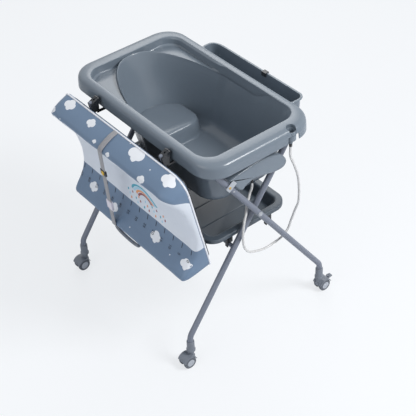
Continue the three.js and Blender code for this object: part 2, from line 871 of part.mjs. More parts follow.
function bowlRing(row, out) {
  const [depth, foot, side, head] = row;
  const topAt = headBlend(rimTop, ledgeHeight + lipHeight);
  return drawnRing(grown(between(floorPlan, archPlan, foot, side, head), out),
    (x) => THREE.MathUtils.lerp(topAt(x), floorHeight, depth) - out);
}

function rimRing(row, inward) {
  const [across, fall] = row;
  const plan = grown(between(rimOuter, rimInner, across, across, across), -inward);
  return tubRing(plan, flat(rimTop - fall * skirtDepth - inward));
}

// The arched lip's ring, pushed out at the head and drawn in along the sides
function lipRing(outAtHead, inward, height) {
  const plan = grown(archPlan, -inward);
  return drawnRing({ ...plan, head: archHead + outAtHead, headRun: archRun + outAtHead }, height);
}

function tubSkin() {
  const outside = bowl_shares.filter((row, i) => i > 1).reverse().map((row) => bowlRing(row, tubWall));
  const [, foot, side, head] = bowl_shares[1];
  const underLedge = between(floorPlan, archPlan, foot, side, head);
  const rings = [
    ...outside,
    drawnRing(grown(underLedge, tubWall), headBlend(rimTop - 5 * tubWall, ledgeHeight - tubWall)),
    drawnRing(grown(rimInner, tubWall / 2), headBlend(rimTop - 3 * tubWall, ledgeHeight - tubWall)),
    drawnRing(grown(rimInner, 0.75 * tubWall), headBlend(rimTop - 2.2 * tubWall, rimTop - 4.3 * tubWall)),
    tubRing(grown(rimInner, tubWall), flat(rimTop - 1.4 * tubWall)),
    rimRing(rim_shares[2], tubWall),
    rimRing(rim_shares[1], tubWall),
    tubRing(grown(rimOuter, -tubWall), flat(rimTop - skirtDepth)),
    tubRing(rimOuter, flat(rimTop - skirtDepth)),
    ...rim_shares.map((row) => rimRing(row, 0)),
    drawnRing(grown(rimInner, -tubWall / 10), headBlend(rimTop - 0.6 * tubWall, rimTop - 3.1 * tubWall)),
    drawnRing(grown(rimInner, -tubWall / 4), headBlend(rimTop - 0.75 * tubWall, ledgeHeight)),
    lipRing(lipWidth, tubWall * 0.5, headBlend(rimTop - tubWall, ledgeHeight)),
    lipRing(lipWidth / 2, tubWall * 0.8, headBlend(rimTop - tubWall * 1.3, ledgeHeight + lipHeight)),
    ...bowl_shares.map((row) => bowlRing(row, 0)),
  ];
  return loft(rings);
}

// The raised seat, as an oval block that narrows towards its top
const seat_shares = [[1, 0], [0.985, 0.55], [0.95, 0.8], [0.88, 0.94], [0.76, 1]];
const seatSides = 24;

function seatBlock(inset, bottom) {
  const rings = seat_shares.map(([size, rise]) => {
    const ring = [];
    for (let k = 0; k < seatSides; k++) {
      const angle = 2 * Math.PI * k / seatSides;
      ring.push(point(
        seatX + (seatHalfLength * size - inset) * Math.cos(angle),
        (seatHalfWidth * size - inset) * Math.sin(angle),
        THREE.MathUtils.lerp(bottom, floorHeight + seatHeight - inset, rise)));
    }
    return ring;
  });
  return loft(rings);
}

const drainTop = floorHeight + plugFlangeDepth;

function tubShell(group) {
  const ribs = [];
  const ribTop = rimTop - 1.5 * tubWall;
  for (const [, side] of ends) {
    ribs.push(boxBetween(
      side * frontRibX - frontRibLength / 2, side * frontRibX + frontRibLength / 2,
      rail.y - frontRibWidth / 2, rail.y + frontRibWidth / 2,
      rail.z + frameTubeRadius + gap, ribTop));
    const top = onInnerLeg(side * innerLegX, innerLegReach + legCapDepth);
    ribs.push(boxBetween(
      top.x - rearRibWidth / 2, top.x + rearRibWidth / 2,
      top.y - rearRibLength / 2, top.y + rearRibLength / 2,
      top.z + frameTubeRadius * Math.sin(lean) + gap, ribTop));
  }
  const skirtCut = boxBetween(
    tubLength / 2 - rimCornerRadius / 2, tubLength,
    holderY - skirtCutWidth / 2, holderY + skirtCutWidth / 2, 0, skirtBottom + skirtCutDepth);
  const cupRoom = barBetween(
    point(holderX, holderY, skirtBottom), point(holderX, holderY, rimTop + overrun),
    holderRadius + holderClearance, 20);
  const drain = barBetween(
    point(drainX, 0, floorHeight - overrun), point(drainX, 0, floorHeight + overrun), drainRadius, 16);
  const face = footFaceAt(elbowHeight);
  const outlet = barAcross(
    face - bowlDepth / 8, face + elbowReach, elbowY, elbowHeight, elbowRadius - elbowWall);
  const skin = joined(tubSkin(), seatBlock(0, floorHeight - tubWall / 2), ...ribs);
  add(group, 'tub_shell',
    cut(skin, seatBlock(tubWall, floorHeight - 2 * tubWall), skirtCut, cupRoom, drain, outlet), tubGrey);
}

// Plug: a stem in the drain hole, a flange on the floor and a grip.
function drainPlug(group) {
  const stem = turnedAlong([
    [0, -tubWall], [drainRadius - gap, -tubWall], [drainRadius - gap, gap], [plugFlangeRadius, gap],
    [plugFlangeRadius, plugFlangeDepth], [0, plugFlangeDepth],
  ], point(drainX, 0, floorHeight), point(0, 0, 1), 16);
  const grip = boxBetween(
    drainX - plugGripLength / 2, drainX + plugGripLength / 2, -plugGripWidth / 2, plugGripWidth / 2,
    floorHeight + plugFlangeDepth / 2, drainTop + plugGripHeight);
  add(group, 'drain_plug', joined(stem, grip), blackPlastic);
}

// Where the foot end's outer face lies at a height
function footFaceAt(height) {
  const depth = (rimTop - height - tubWall) / bowlDepth;
  const below = bowl_shares.findIndex((row) => row[0] >= depth);
  const [first, second] = [bowl_shares[below - 1], bowl_shares[below]];
  const share = (depth - first[0]) / (second[0] - first[0]);
  const foot = THREE.MathUtils.lerp(first[1], second[1], share);
  return THREE.MathUtils.lerp(floorPlan.foot, archPlan.foot, foot) + tubWall;
}

const elbowArcStep = Math.PI / 8;

const elbowX = footFaceAt(elbowHeight) + elbowReach;

function drainElbow(group) {
  const face = footFaceAt(elbowHeight) + gap + elbowFlangeDepth / 2;
  const stations = bentStations([
    point(face, elbowY, elbowHeight),
    point(elbowX, elbowY, elbowHeight),
    point(elbowX, elbowY, elbowHeight - elbowDrop),
  ], elbowBend, elbowArcStep);
  const flange = barAcross(face, face + elbowFlangeDepth, elbowY, elbowHeight, elbowFlangeRadius);
  const bore = barAcross(
    face - overrun, face + overrun, elbowY, elbowHeight, elbowRadius - elbowWall);
  const elbow = joined(tubeAlong(stations, elbowRadius, elbowWall), flange);
  add(group, 'drain_elbow', cut(elbow, bore), blackPlastic);
}

// Funnel for the hose's end, open at the top, on an arm from under the rim.
function hoseHolder(group) {
  const neckBottom = holderTop - holderCupDepth - holderNeckLength;
  const neckBore = holderNeckRadius - holderWall / 2;
  const coneTop = holderTop - holderCupDepth;
  const outer = turnedAlong([
    [0, neckBottom], [holderNeckRadius, neckBottom], [holderNeckRadius, coneTop - holderNeckLength / 2],
    [holderRadius, coneTop], [holderRadius, holderTop], [0, holderTop],
  ], point(holderX, holderY, 0), point(0, 0, 1), 16);
  const inner = turnedAlong([
    [0, neckBottom - overrun], [neckBore, neckBottom - overrun],
    [neckBore, coneTop - holderNeckLength / 2],
    [holderRadius - holderWall, coneTop], [holderRadius - holderWall, holderTop + overrun],
    [0, holderTop + overrun],
  ], point(holderX, holderY, 0), point(0, 0, 1), 16);
  const armZ = skirtBottom + holderArmDepth;
  const arm = boxBetween(
    footFaceAt(armZ) + tubWall, holderX, holderY - holderArmWidth / 2, holderY + holderArmWidth / 2,
    armZ - holderArmDepth / 2, armZ + holderArmDepth / 2);
  add(group, 'hose_holder', cut(joined(outer, arm), inner), tubGrey);

  const connector = turnedAlong([
    [0, -connectorLength], [connectorRadius, -connectorLength], [connectorRadius, -gap],
    [neckBore - gap, -gap], [neckBore - gap, connectorRadius], [0, connectorRadius],
  ], point(holderX, holderY, neckBottom), point(0, 0, 1));
  add(group, 'hose_connector', connector, blackPlastic);
}

// The drain hose's route, from the holder round the legs and up to the elbow
const hoseTop = holderTop - holderCupDepth - holderNeckLength - connectorLength - gap;
const hose_route = [
  [holderX, holderY, hoseTop], [holderX, holderY, 768], [400, 146, 715], [393, 168, 655],
  [391, 176, 598], [386, 181, 552], [374, 188, 510], [360, 186, 467], [351, 177, 420], [351, 160, 385],
  [351, 125, 364], [352, 88, 360], [358, 58, 366], [366, 25, 378], [367, -8, 389], [367, -38, 405],
  [367, -58, 432], [367, -66, 477], [367, -64, 520], [366, -58, 556], [359, -46, 585], [347, -30, 603],
  [336, -12, 615], [elbowX, 1, 632], [elbowX, 8, 646], [elbowX, elbowY, 662],
  [elbowX, elbowY, elbowHeight - elbowDrop - gap],
];
const hoseSteps = 64;

function drainHose(group) {
  const places = hose_route.map(([x, y, z]) => point(x, y, z));
  const curve = new THREE.CatmullRomCurve3(places, false, 'centripetal');
  const stations = [];
  for (let k = 0; k <= hoseSteps; k++) stations.push(curve.getPointAt(k / hoseSteps));
  add(group, 'drain_hose', tubeAlong(stations, hoseRadius, 0, 4), hoseClear);
}

// Trough that hooks under the rim's rear skirt.
function toiletriesTrough(group) {
  const steps = { head: 6, foot: 4, side: 3 };
  const top = {
    head: troughHead, foot: troughFoot, half: troughWidth / 2,
    headRun: troughHeadRun, headSide: troughWidth / 2 - troughCorner / 4,
    footRun: troughCorner, footSide: troughCorner,
  };
  const body = grown(top, -troughLip);
  const ring = (plan, height) => ringOver(plan, steps, flat(height));
  const bottom = troughTop - troughDepth;
  const skin = loft([
    ring(grown(body, -troughTaper - troughWall), bottom),
    ring(grown(body, -troughTaper), bottom + troughWall),
    ring(body, troughTop - troughLipDepth - troughWall / 2),
    ring(top, troughTop - troughLipDepth),
    ring(top, troughTop - troughLipDepth / 4),
    ring(grown(top, -troughLip / 4), troughTop),
    ring(grown(body, -troughWall / 2), troughTop),
    ring(grown(body, -troughWall), troughTop - troughLipDepth / 4),
    ring(grown(body, -troughTaper - troughWall), bottom + 2 * troughWall),
    ring(grown(body, -troughTaper - 2 * troughWall), bottom + troughWall),
  ]);
  const centreY = tubWidth / 2 + troughBehind + troughWidth / 2;
  const hooks = [];
  const skirtInside = -troughBehind - troughWidth / 2 - tubWall - troughHookSlack;
  for (const [, side] of ends) {
    const from = side * troughHookX - troughHookWidth / 2;
    const to = side * troughHookX + troughHookWidth / 2;
    hooks.push(boxBetween(from, to, skirtInside - troughHookDepth, troughLip + troughWall - troughWidth / 2,
      skirtBottom - gap - troughHookDepth, skirtBottom - gap));
    hooks.push(boxBetween(from, to, skirtInside - troughHookDepth, skirtInside,
      skirtBottom - gap - troughHookDepth, skirtBottom + troughHookRise));
  }
  const trough = add(group, 'toiletries_trough', joined(skin, ...hooks), tubGrey);
  trough.position.set(0, centreY, 0);

  const lipOut = troughWidth / 2 + gap;
  const lipIn = troughWidth / 2 - troughLip - 2 * troughWall - gap;
  const clip = cut(
    boxBetween(troughClipX - troughClipWidth / 2, troughClipX + troughClipWidth / 2,
      lipIn - troughClipWall, lipOut + troughClipWall,
      troughTop - troughClipLength / 2, troughTop + troughClipWall),
    boxBetween(troughClipX - troughClipWidth, troughClipX + troughClipWidth,
      lipIn, lipOut, troughTop - troughClipLength, troughTop + gap));
  add(group, 'trough_clip', clip, blackPlastic).position.set(0, centreY, 0);
}

// Tray that rests on both lower cross bars.
function storageTray(group) {
  const steps = { head: 6, foot: 6, side: 3 };
  const rim = evenPlan(trayHalfLength, trayHalfWidth, trayCorner);
  const bottom = crossBar.z + crossBarRadius + gap;
  const top = bottom + trayHeight;
  const ring = (inset, height) => ringOver(grown(rim, -inset), steps, flat(height));
  const wallTop = trayRimBand + trayWall;
  const wallFoot = trayRimBand + trayTaper;
  add(group, 'storage_tray', loft([
    ring(wallFoot + trayFillet, bottom),
    ring(wallFoot, bottom + trayFillet),
    ring(wallTop - trayWall / 2, top - 2 * trayWall),
    ring(wallTop - 2 * trayWall, top - trayWall),
    ring(2 * trayWall, top - trayWall),
    ring(trayWall, top - 2 * trayWall),
    ring(trayWall, top - trayLipDrop),
    ring(0, top - trayLipDrop),
    ring(0, top - 1.5 * trayWall),
    ring(trayWall, top),
    ring(trayRimBand - trayWall, top),
    ring(trayRimBand + trayWall / 2, top - trayWall / 2),
    ring(wallTop + trayWall, top - 2 * trayWall),
    ring(wallFoot + trayWall, bottom + trayFillet + trayWall),
    ring(wallFoot + trayFillet + trayWall, bottom + trayWall),
  ]), trayGrey);

  const clipTop = top - trayWall - gap;
  const clipHalf = crossBarRadius + gap + trayClipWall;
  const slack = crossBarRadius + gap;
  for (const [end, side] of ends) {
    for (const [row, barY] of [['rear', -crossBar.y], ['front', crossBar.y]]) {
      const outerX = side * (trayHalfLength - 2 * trayWall - gap);
      const innerX = outerX - side * trayClipInset;
      const block = boxBetween(
        Math.min(innerX, outerX), Math.max(innerX, outerX), barY - clipHalf, barY + clipHalf,
        crossBar.z - slack, clipTop);
      const bar = barAcross(
        innerX - side * overrun, outerX + side * overrun, barY, crossBar.z, slack, 20);
      const open = boxBetween(
        -trayHalfLength - overrun, trayHalfLength + overrun, barY - slack,
        barY + (row === 'front' ? clipHalf + overrun : slack), crossBar.z - 2 * slack,
        crossBar.z + (row === 'front' ? slack : 0));
      add(group, `tray_clip_${row}_${end}`, cut(block, bar, open), blackPlastic);
    }
  }
}

// Hooked plate that stands on the front rail and reaches round the skirt.
function bracketPlate() {
  const shape = new THREE.Shape();
  const stemIn = rail.y + bracketStem / 2;
  const stemOut = rail.y - bracketStem / 2;
  const headIn = rail.y + bracketHeadWidth / 2 - bracketHeadSetBack;
  const headOut = rail.y - bracketHeadWidth / 2 - 2 * bracketHeadSetBack;
  const headBottom = rail.z - frameTubeRadius - bracketHeadHeight / 2;
  const headTop = rail.z;
  const outIn = -hingeY + bracketArm / 2;
  const outOut = -hingeY - bracketArm / 2;
  shape.moveTo(stemIn, bracketBottom);
  shape.lineTo(stemIn, headBottom - bracketStem / 2);
  shape.lineTo(headIn, headBottom);
  shape.lineTo(headIn, headTop);
  shape.lineTo(headOut, headTop);
  shape.lineTo(headOut, headBottom);
  shape.lineTo(stemOut, headBottom - bracketStem / 2);
  shape.lineTo(stemOut, bracketBottom + bracketArm);
  shape.lineTo(outIn, bracketBottom + bracketArm);
  shape.lineTo(outIn, hingeZ - earRadius);
  shape.absarc(-hingeY, hingeZ, earRadius, -Math.PI / 4, 5 * Math.PI / 4, false);
  shape.lineTo(outOut, hingeZ - earRadius);
  shape.lineTo(outOut, bracketBottom);
  return shape;
}

function matBrackets(group) {
  for (const [end, side] of ends) {
    const from = side * matRailX - bracketThickness / 2;
    const to = side * matRailX + bracketThickness / 2;
    const plate = plateAcross(bracketPlate(), from, to);
    const pinHole = barAcross(
      from - overrun, to + overrun, -hingeY, hingeZ, hingePinRadius + gap);
    const railHole = barAcross(
      from - overrun, to + overrun, rail.y, rail.z, frameTubeRadius + gap, 20);
    add(group, `mat_bracket_${end}`, cut(plate, pinHole, railHole), tubePaint);
  }
}

// The mat is modelled hanging plumb: its hinge is the origin, -Y faces out.
const railOffset = matBackOffset - gap - matRailRadius;

function matArms(group) {
  const sleeveFront = matBackOffset - 2 * gap;
  const shape = new THREE.Shape();
  shape.absarc(0, 0, knuckleRadius, -Math.PI / 2, Math.PI / 2, false);
  shape.lineTo(-sleeveFront, -sleeveStart);
  shape.lineTo(-sleeveFront, -sleeveStart - sleeveLength);
  shape.lineTo(matRailRadius + sleeveWall - railOffset, -sleeveStart - sleeveLength);
  for (const [end, side] of ends) {
    const x = side * matRailX;
    const slotHalf = bracketThickness / 2 + gap;
    const body = plateAcross(shape, x - sleeveWidth / 2, x + sleeveWidth / 2);
    const slot = boxBetween(
      x - slotHalf, x + slotHalf, -bracketSlot, 2 * knuckleRadius,
      -sleeveLength - overrun, 2 * knuckleRadius);
    const bore = barBetween(
      point(x, -railOffset, -sleeveLength - 2 * overrun), point(x, -railOffset, overrun),
      matRailRadius + gap, 16);
    const pin = barAcross(x - sleeveWidth / 2, x + sleeveWidth / 2, 0, 0, hingePinRadius);
    add(group, `mat_arm_${end}`, joined(cut(body, slot, bore), pin), blackPlastic);
  }
}

function matRails(group) {
  for (const [end, side] of ends) {
    const top = point(side * matRailX, -railOffset, matRailAbove);
    const bottom = point(side * matRailX, -railOffset, matRailAbove - matRailLength);
    add(group, `mat_rail_${end}`, barBetween(top, bottom, matRailRadius), steel);
  }
}

function matBoard(group) {
  const half = matHalfLength - matBoardInset;
  const top = -matTopDrop - matBoardInset;
  const bottom = -matTopDrop - matHeight + matBoardInset;
  const r = matBoardCorner;
  const shape = new THREE.Shape();
  shape.absarc(half - r, top - r, r, 0, Math.PI / 2, false);
  shape.absarc(r - half, top - r, r, Math.PI / 2, Math.PI, false);
  shape.absarc(r - half, bottom + r, r, Math.PI, 1.5 * Math.PI, false);
  shape.absarc(half - r, bottom + r, r, 1.5 * Math.PI, 2 * Math.PI, false);
  const board = new THREE.ExtrudeGeometry(shape, {
    depth: matBoardThickness, bevelEnabled: false, curveSegments: 5,
  });
  board.rotateX(Math.PI / 2);
  board.translate(0, -matBackOffset, 0);
  add(group, 'mat_board', board, blackPlastic);
}

// Section of the cushion from its top edge to its lower edge.
// Each pair is a share of the mat's height and a share of the cushion's depth.
const cushion_section_shares = [
  [0.006, 0], [0, 0.05], [0.008, 0.24], [0.022, 0.44], [0.039, 0.6], [0.052, 0.69], [0.075, 0.745],
  [0.104, 0.735], [0.14, 0.66], [0.195, 0.53], [0.27, 0.4], [0.36, 0.32], [0.48, 0.26], [0.6, 0.25],
  [0.705, 0.31], [0.775, 0.4], [0.84, 0.55], [0.895, 0.75], [0.935, 0.92], [0.962, 0.995], [0.98, 1],
  [0.994, 0.93], [0.997, 0.73], [0.9985, 0.4], [1, 0.1], [0.99, 0], [0.75, 0], [0.5, 0], [0.25, 0],
];

// How thick the sides of the cushion are at its two ends
const cushion_end_share = 0.2;

// Distances of the cushion's sections from the end, in corner sizes
const cushion_station_shares = [0, 0.05, 0.16, 0.34, 0.6, 0.95];

// How much of an arc's rise is reached at a distance from its start
function arcRise(distance, radius) {
  const short = Math.max(0, 1 - distance / radius);
  return Math.sqrt(1 - short * short);
}

function cushionRing(x, fromEnd, corner) {
  const upperInset = corner * (1 - arcRise(fromEnd, corner));
  const lowerInset = cushionLowerCorner * (1 - arcRise(fromEnd, cushionLowerCorner));
  const back = matBackOffset + matBoardThickness + gap;
  return cushion_section_shares.map(([down, out]) => {
    const round = THREE.MathUtils.lerp(cushionTopRound, cushionLowerRound, down);
    const rise = arcRise(fromEnd, round);
    const share = out === 0 ? 0 : THREE.MathUtils.lerp(cushion_end_share, out, rise);
    const z = THREE.MathUtils.lerp(-matTopDrop - upperInset, -matTopDrop - matHeight + lowerInset, down);
    return point(x, -back - cushionDepth * share, z);
  });
}

function matCushion(group) {
  const rings = [];
  for (const share of cushion_station_shares) {
    const fromEnd = share * cushionNearCorner;
    rings.push(cushionRing(fromEnd - matHalfLength, fromEnd, cushionFarCorner));
  }
  for (const x of [-matHalfLength / 2, 0, matHalfLength / 2]) {
    rings.push(cushionRing(x, matHalfLength, cushionFarCorner));
  }
  for (const share of [...cushion_station_shares].reverse()) {
    const fromEnd = share * cushionNearCorner;
    rings.push(cushionRing(matHalfLength - fromEnd, fromEnd, cushionNearCorner));
  }
  add(group, 'mat_cushion', loft(rings), matCover);
}

// Where the strap's middle runs, from the top edge over both bolsters
const strap_shares = [
  [0, 0.04], [0.004, 0.24], [0.018, 0.445], [0.035, 0.61], [0.048, 0.702], [0.072, 0.758],
  [0.975, 1.015], [0.992, 0.99], [1.002, 0.92], [1.004, 0.76],
];

function strapPoints() {
  const back = matBackOffset + matBoardThickness + gap;
  const spanStart = strap_shares[5][0];
  const spanEnd = strap_shares[6][0];
  return strap_shares.map(([down, out]) => {
    const along = THREE.MathUtils.clamp((down - spanStart) / (spanEnd - spanStart), 0, 1);
    return point(THREE.MathUtils.lerp(strapTopX, strapBottomX, along),
      -back - strapLift - cushionDepth * out,
      -matTopDrop - matHeight * down + strapLift * (1 - 2 * down));
  });
}

// A flat band along points, as wide as it is in X.
function bandAlong(points, width, thickness) {
  const last = points.length - 1;
  const rings = points.map((p, i) => {
    const along = points[Math.min(i + 1, last)].clone().sub(points[Math.max(i - 1, 0)]);
    const outward = point(0, -along.z, along.y).normalize().multiplyScalar(thickness / 2);
    const across = point(width / 2, 0, 0);
    return [
      p.clone().add(across).add(outward), p.clone().sub(across).add(outward),
      p.clone().sub(across).sub(outward), p.clone().add(across).sub(outward),
    ];
  });
  return loft(rings);
}

// A block threaded on the strap's straight span, at a share of its length.
function onStrap(mesh, share) {
  const points = strapPoints();
  const along = points[6].clone().sub(points[5]).normalize();
  const across = point(1, 0, 0).addScaledVector(along, -along.x).normalize();
  const outward = along.clone().cross(across);
  mesh.quaternion.setFromRotationMatrix(new THREE.Matrix4().makeBasis(across, outward, along));
  mesh.position.copy(points[5].clone().lerp(points[6], share));
}

function threadedBlock(width, thickness, length) {
  const block = boxBetween(-width / 2, width / 2, -thickness / 2, thickness / 2, -length / 2, length / 2);
  const slotHalf = strapWidth / 2 + 2 * gap;
  const slot = boxBetween(
    -slotHalf - gap, slotHalf + gap, -strapThickness / 2 - gap, strapThickness / 2 + gap, -length, length);
  return cut(block, slot);
}

const slider_place_share = 0.27;
const buckle_place_share = 0.71;

function matStrap(group) {
  add(group, 'mat_strap', bandAlong(strapPoints(), strapWidth, strapThickness), webbing);
  const slider = threadedBlock(sliderWidth, sliderThickness, sliderLength);
  const buckle = threadedBlock(buckleWidth, buckleThickness, buckleLength);
  onStrap(add(group, 'strap_slider', slider, blackPlastic), slider_place_share);
  onStrap(add(group, 'strap_buckle', buckle, palePlastic), buckle_place_share);
}

// Grab handle: an arched bar under the mat's lower edge.
function grabHandle(group) {
  const steps = 12;
  const top = -matTopDrop - matHeight - 3 * gap;
  const stations = [];
  for (let k = 0; k <= steps; k++) {
    const angle = Math.PI * k / steps;
    const bulge = Math.pow(Math.sin(angle), 0.5);
    stations.push(point(
      handleX - Math.cos(angle) * (handleLength - handleWidth) / 2, -handleOffset,
      top - (handleReach - handleThickness / 2) * bulge));
  }
  const section = new THREE.Shape();
  section.absellipse(0, 0, handleThickness / 2, handleWidth / 2, 0, 2 * Math.PI, false, 0);
  const bar = new THREE.ExtrudeGeometry(section, {
    steps, bevelEnabled: false, curveSegments: 5, extrudePath: new Route(stations),
  });
  add(group, 'grab_handle', bar, castorGrey);
}

// Castors, each modelled with its stem on the Z axis and its wheels behind it.
function castorSocket(group, name) {
  const stemHole = stemRadius + gap;
  const pocket = frameTubeRadius + gap;
  const pocketBottom = footTubeEnd - gap;
  const socket = turnedAlong([
    [stemHole, socketBottom], [socketCollarRadius, socketBottom],
    [socketCollarRadius, socketBottom + socketCollarDepth],
    [socketRadius, socketBottom + socketCollarDepth + socketChamfer],
    [socketRadius, socketTop - socketChamfer], [socketRadius - socketChamfer, socketTop],
    [pocket, socketTop], [pocket, pocketBottom],
    [stemHole, pocketBottom], [stemHole, socketBottom],
  ], point(0, 0, 0), point(0, 0, 1), 16);
  add(group, name, socket, castorGrey);
}

const castorSides = 20;
const wheelInner = castorPlate / 2 + gap;
const wheelOuter = wheelInner + wheelWidth;

function castorWheels(group, name) {
  const half = [
    [wheelRadius - treadChamfer, wheelInner], [wheelRadius, wheelInner + treadChamfer],
    [wheelRadius, wheelOuter - 2 * treadChamfer], [wheelDishRadius, wheelOuter], [0, wheelOuter],
  ];
  const profile = [
    ...[...half].reverse().map(([r, x]) => [r, -x]),
    [axleRadius, -wheelInner], [axleRadius, wheelInner], ...half,
  ];
  const pair = turnedAlong(profile, point(0, castorTrail, wheelRadius), point(1, 0, 0), 18);
  add(group, name, pair, castorGrey);
}

function castorHood(group, name, lug) {
  const roofInner = wheelRadius + wheelClearance;
  const roofOuter = roofInner + hoodWall;
  const roofHalf = wheelOuter + gap;
  const onAxle = (from, to, radius, sides) => barAcross(from, to, castorTrail, wheelRadius, radius, sides);
  const hub = onAxle(-castorPlate / 2, castorPlate / 2, hubRadius, castorSides);
  const drum = onAxle(-roofHalf, roofHalf, roofOuter, castorSides);
  const underRoof = boxBetween(
    -2 * roofHalf, 2 * roofHalf, -2 * roofOuter, 3 * roofOuter, -roofOuter, wheelRadius + hubRadius / 2);
  const neck = barBetween(point(0, 0, wheelRadius + hubRadius), point(0, 0, neckTop), neckRadius);
  const stem = barBetween(point(0, 0, neckTop - overrun), point(0, 0, stemTop), stemRadius);
  const plate = boxBetween(
    -castorPlate / 2, castorPlate / 2, -neckRadius, castorTrail,
    wheelRadius + hubRadius / 4, wheelRadius + hubRadius + gap);
  const pieces = [hub, neck, stem, plate];
  const pin = pedalPin();
  if (lug) {
    pieces.push(barAcross(-pedalLugWidth / 2, pedalLugWidth / 2, pin.y, pin.z, pedalLugRadius));
    pieces.push(boxBetween(
      -pedalLugWidth / 2, pedalLugWidth / 2, castorTrail, pin.y,
      pin.z - pedalLugRadius, pin.z + pedalLugRadius));
  }
  const cuts = [onAxle(-castorPlate, castorPlate, axleRadius + gap)];
  for (const [, side] of ends) {
    cuts.push(onAxle(side * castorPlate / 2, side * (roofHalf + overrun), roofInner, castorSides));
  }
  if (lug) {
    cuts.push(barAcross(-castorPlate, castorPlate, pin.y, pin.z, pedalPinRadius + gap));
  }
  const roof = cut(drum, underRoof);
  add(group, name, cut(joined(roof, ...pieces), ...cuts), castorGrey);
}

// The brake pedal's pin, just outside the hood's roof
function pedalPin() {
  const angle = THREE.MathUtils.degToRad(pedalAngleDegrees);
  const reach = wheelRadius + wheelClearance + hoodWall + pedalLugRadius + 2 * gap;
  return point(0, castorTrail + reach * Math.cos(angle), wheelRadius + reach * Math.sin(angle));
}

function brakePedal(group, name) {
  const pin = pedalPin();
  const slotHalf = pedalLugWidth / 2 + gap;
  const shape = new THREE.Shape();
  shape.absarc(0, 0, pedalLugRadius - gap, Math.PI / 2, 1.5 * Math.PI, false);
  shape.lineTo(pedalLength, -pedalThickness / 2);
  shape.lineTo(pedalLength, pedalThickness / 2);
  const plate = plateAcross(shape, -pedalWidth / 2, pedalWidth / 2);
  const slot = boxBetween(
    -slotHalf, slotHalf, -2 * pedalLugRadius, pedalLugRadius + 2 * gap,
    -2 * pedalLugRadius, 2 * pedalLugRadius);
  const axle = barAcross(-pedalWidth / 2, pedalWidth / 2, 0, 0, pedalPinRadius);
  const pedal = joined(cut(plate, slot), axle);
  add(group, name, pedal, castorGrey).position.copy(pin);
}

function castors(group) {
  for (const [end, side] of ends) {
    for (const row of ['rear', 'front']) {
      const castor = new THREE.Group();
      const isRear = row === 'rear';
      castor.position.set(side * (isRear ? outerLegX : innerLegX), isRear ? castorY : -castorY, 0);
      if (row === 'front') castor.rotation.z = Math.PI;
      castorSocket(castor, `castor_socket_${row}_${end}`);
      castorHood(castor, `castor_hood_${row}_${end}`, row === 'rear');
      castorWheels(castor, `castor_wheels_${row}_${end}`);
      if (row === 'rear') brakePedal(castor, `brake_pedal_${end}`);
      group.add(castor);
    }
  }
}

const table = new THREE.Group();
outerFrame(table);
innerFrame(table);
pivotBolts(table);
sideCovers(table);
tubShell(table);
drainPlug(table);
drainElbow(table);
hoseHolder(table);
drainHose(table);
toiletriesTrough(table);
storageTray(table);
matBrackets(table);
castors(table);

const mat = new THREE.Group();
mat.position.set(0, -hingeY, hingeZ);
mat.rotation.x = matLean;
matArms(mat);
matRails(mat);
matBoard(mat);
matCushion(mat);
matStrap(mat);
grabHandle(mat);
table.add(mat);

export default table;
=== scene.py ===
# Changing table with bathtub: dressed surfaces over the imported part.
# Shapes are worked out in millimetres, in the part's own frame, and turned to metres in the mesh.
import json
import math

import bmesh
import bpy
import numpy as np
from mathutils import Matrix, Vector


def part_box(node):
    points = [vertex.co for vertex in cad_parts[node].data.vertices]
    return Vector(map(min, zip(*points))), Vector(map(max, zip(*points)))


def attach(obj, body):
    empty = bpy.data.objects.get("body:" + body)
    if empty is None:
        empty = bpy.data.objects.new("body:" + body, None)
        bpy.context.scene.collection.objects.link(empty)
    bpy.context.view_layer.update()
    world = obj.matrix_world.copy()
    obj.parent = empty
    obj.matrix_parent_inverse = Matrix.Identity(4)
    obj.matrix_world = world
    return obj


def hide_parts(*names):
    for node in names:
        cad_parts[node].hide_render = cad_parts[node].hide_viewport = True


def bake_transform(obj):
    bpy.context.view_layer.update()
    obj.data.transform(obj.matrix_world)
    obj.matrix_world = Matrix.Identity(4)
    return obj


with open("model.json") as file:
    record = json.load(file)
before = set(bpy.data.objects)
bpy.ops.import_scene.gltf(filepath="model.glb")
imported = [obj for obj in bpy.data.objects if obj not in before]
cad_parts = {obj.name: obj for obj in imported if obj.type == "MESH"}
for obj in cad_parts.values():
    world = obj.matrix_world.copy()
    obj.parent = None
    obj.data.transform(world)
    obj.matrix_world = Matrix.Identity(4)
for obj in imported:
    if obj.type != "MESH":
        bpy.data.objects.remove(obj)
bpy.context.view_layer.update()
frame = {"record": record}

bl_info = {
    "name": "Changing Table with Bathtub",
    "version": (1, 0, 0),
    "blender": (4, 5, 0),
    "location": "View3D > Sidebar > Changing Table",
    "description": "Makes the dressed surfaces of a folding changing table with a bathtub",
    "category": "Add Mesh",
}

MM = 0.001
# Doubled points are joined within this many metres, and flat faces within this many degrees
merge_distance = 2e-6
flat_angle = 1
record = frame["record"]
home_body = {node: body for body, nodes in record["behaviour"]["bodies"].items() for node in nodes}
ends = (("near", 1), ("far", -1))
rows = (("rear", 1), ("front", -1))

# Folding frame
crossing_height = 572
outer_leg_x = 374
inner_leg_x = 347
tube_radius = 11
cross_bar_radius = 8
bend_radius = 48
foot_bend_height = 137
foot_end = 82
rail_height = 871.5
rail_y = -212
inner_leg_top = 823.4
lean = math.atan2(-rail_y, rail_height - crossing_height)
button_y = -115.6
button_height = 735.2

# Side covers: the gap to the leg, and how far a cover comes forward
cover_gap = 6
cover_reach = 121

# Castors
castor_y = (crossing_height - foot_bend_height) * math.tan(lean)
castor_trail = 18
wheel_radius = 25
wheel_inner = 8.3
wheel_outer = 21.8

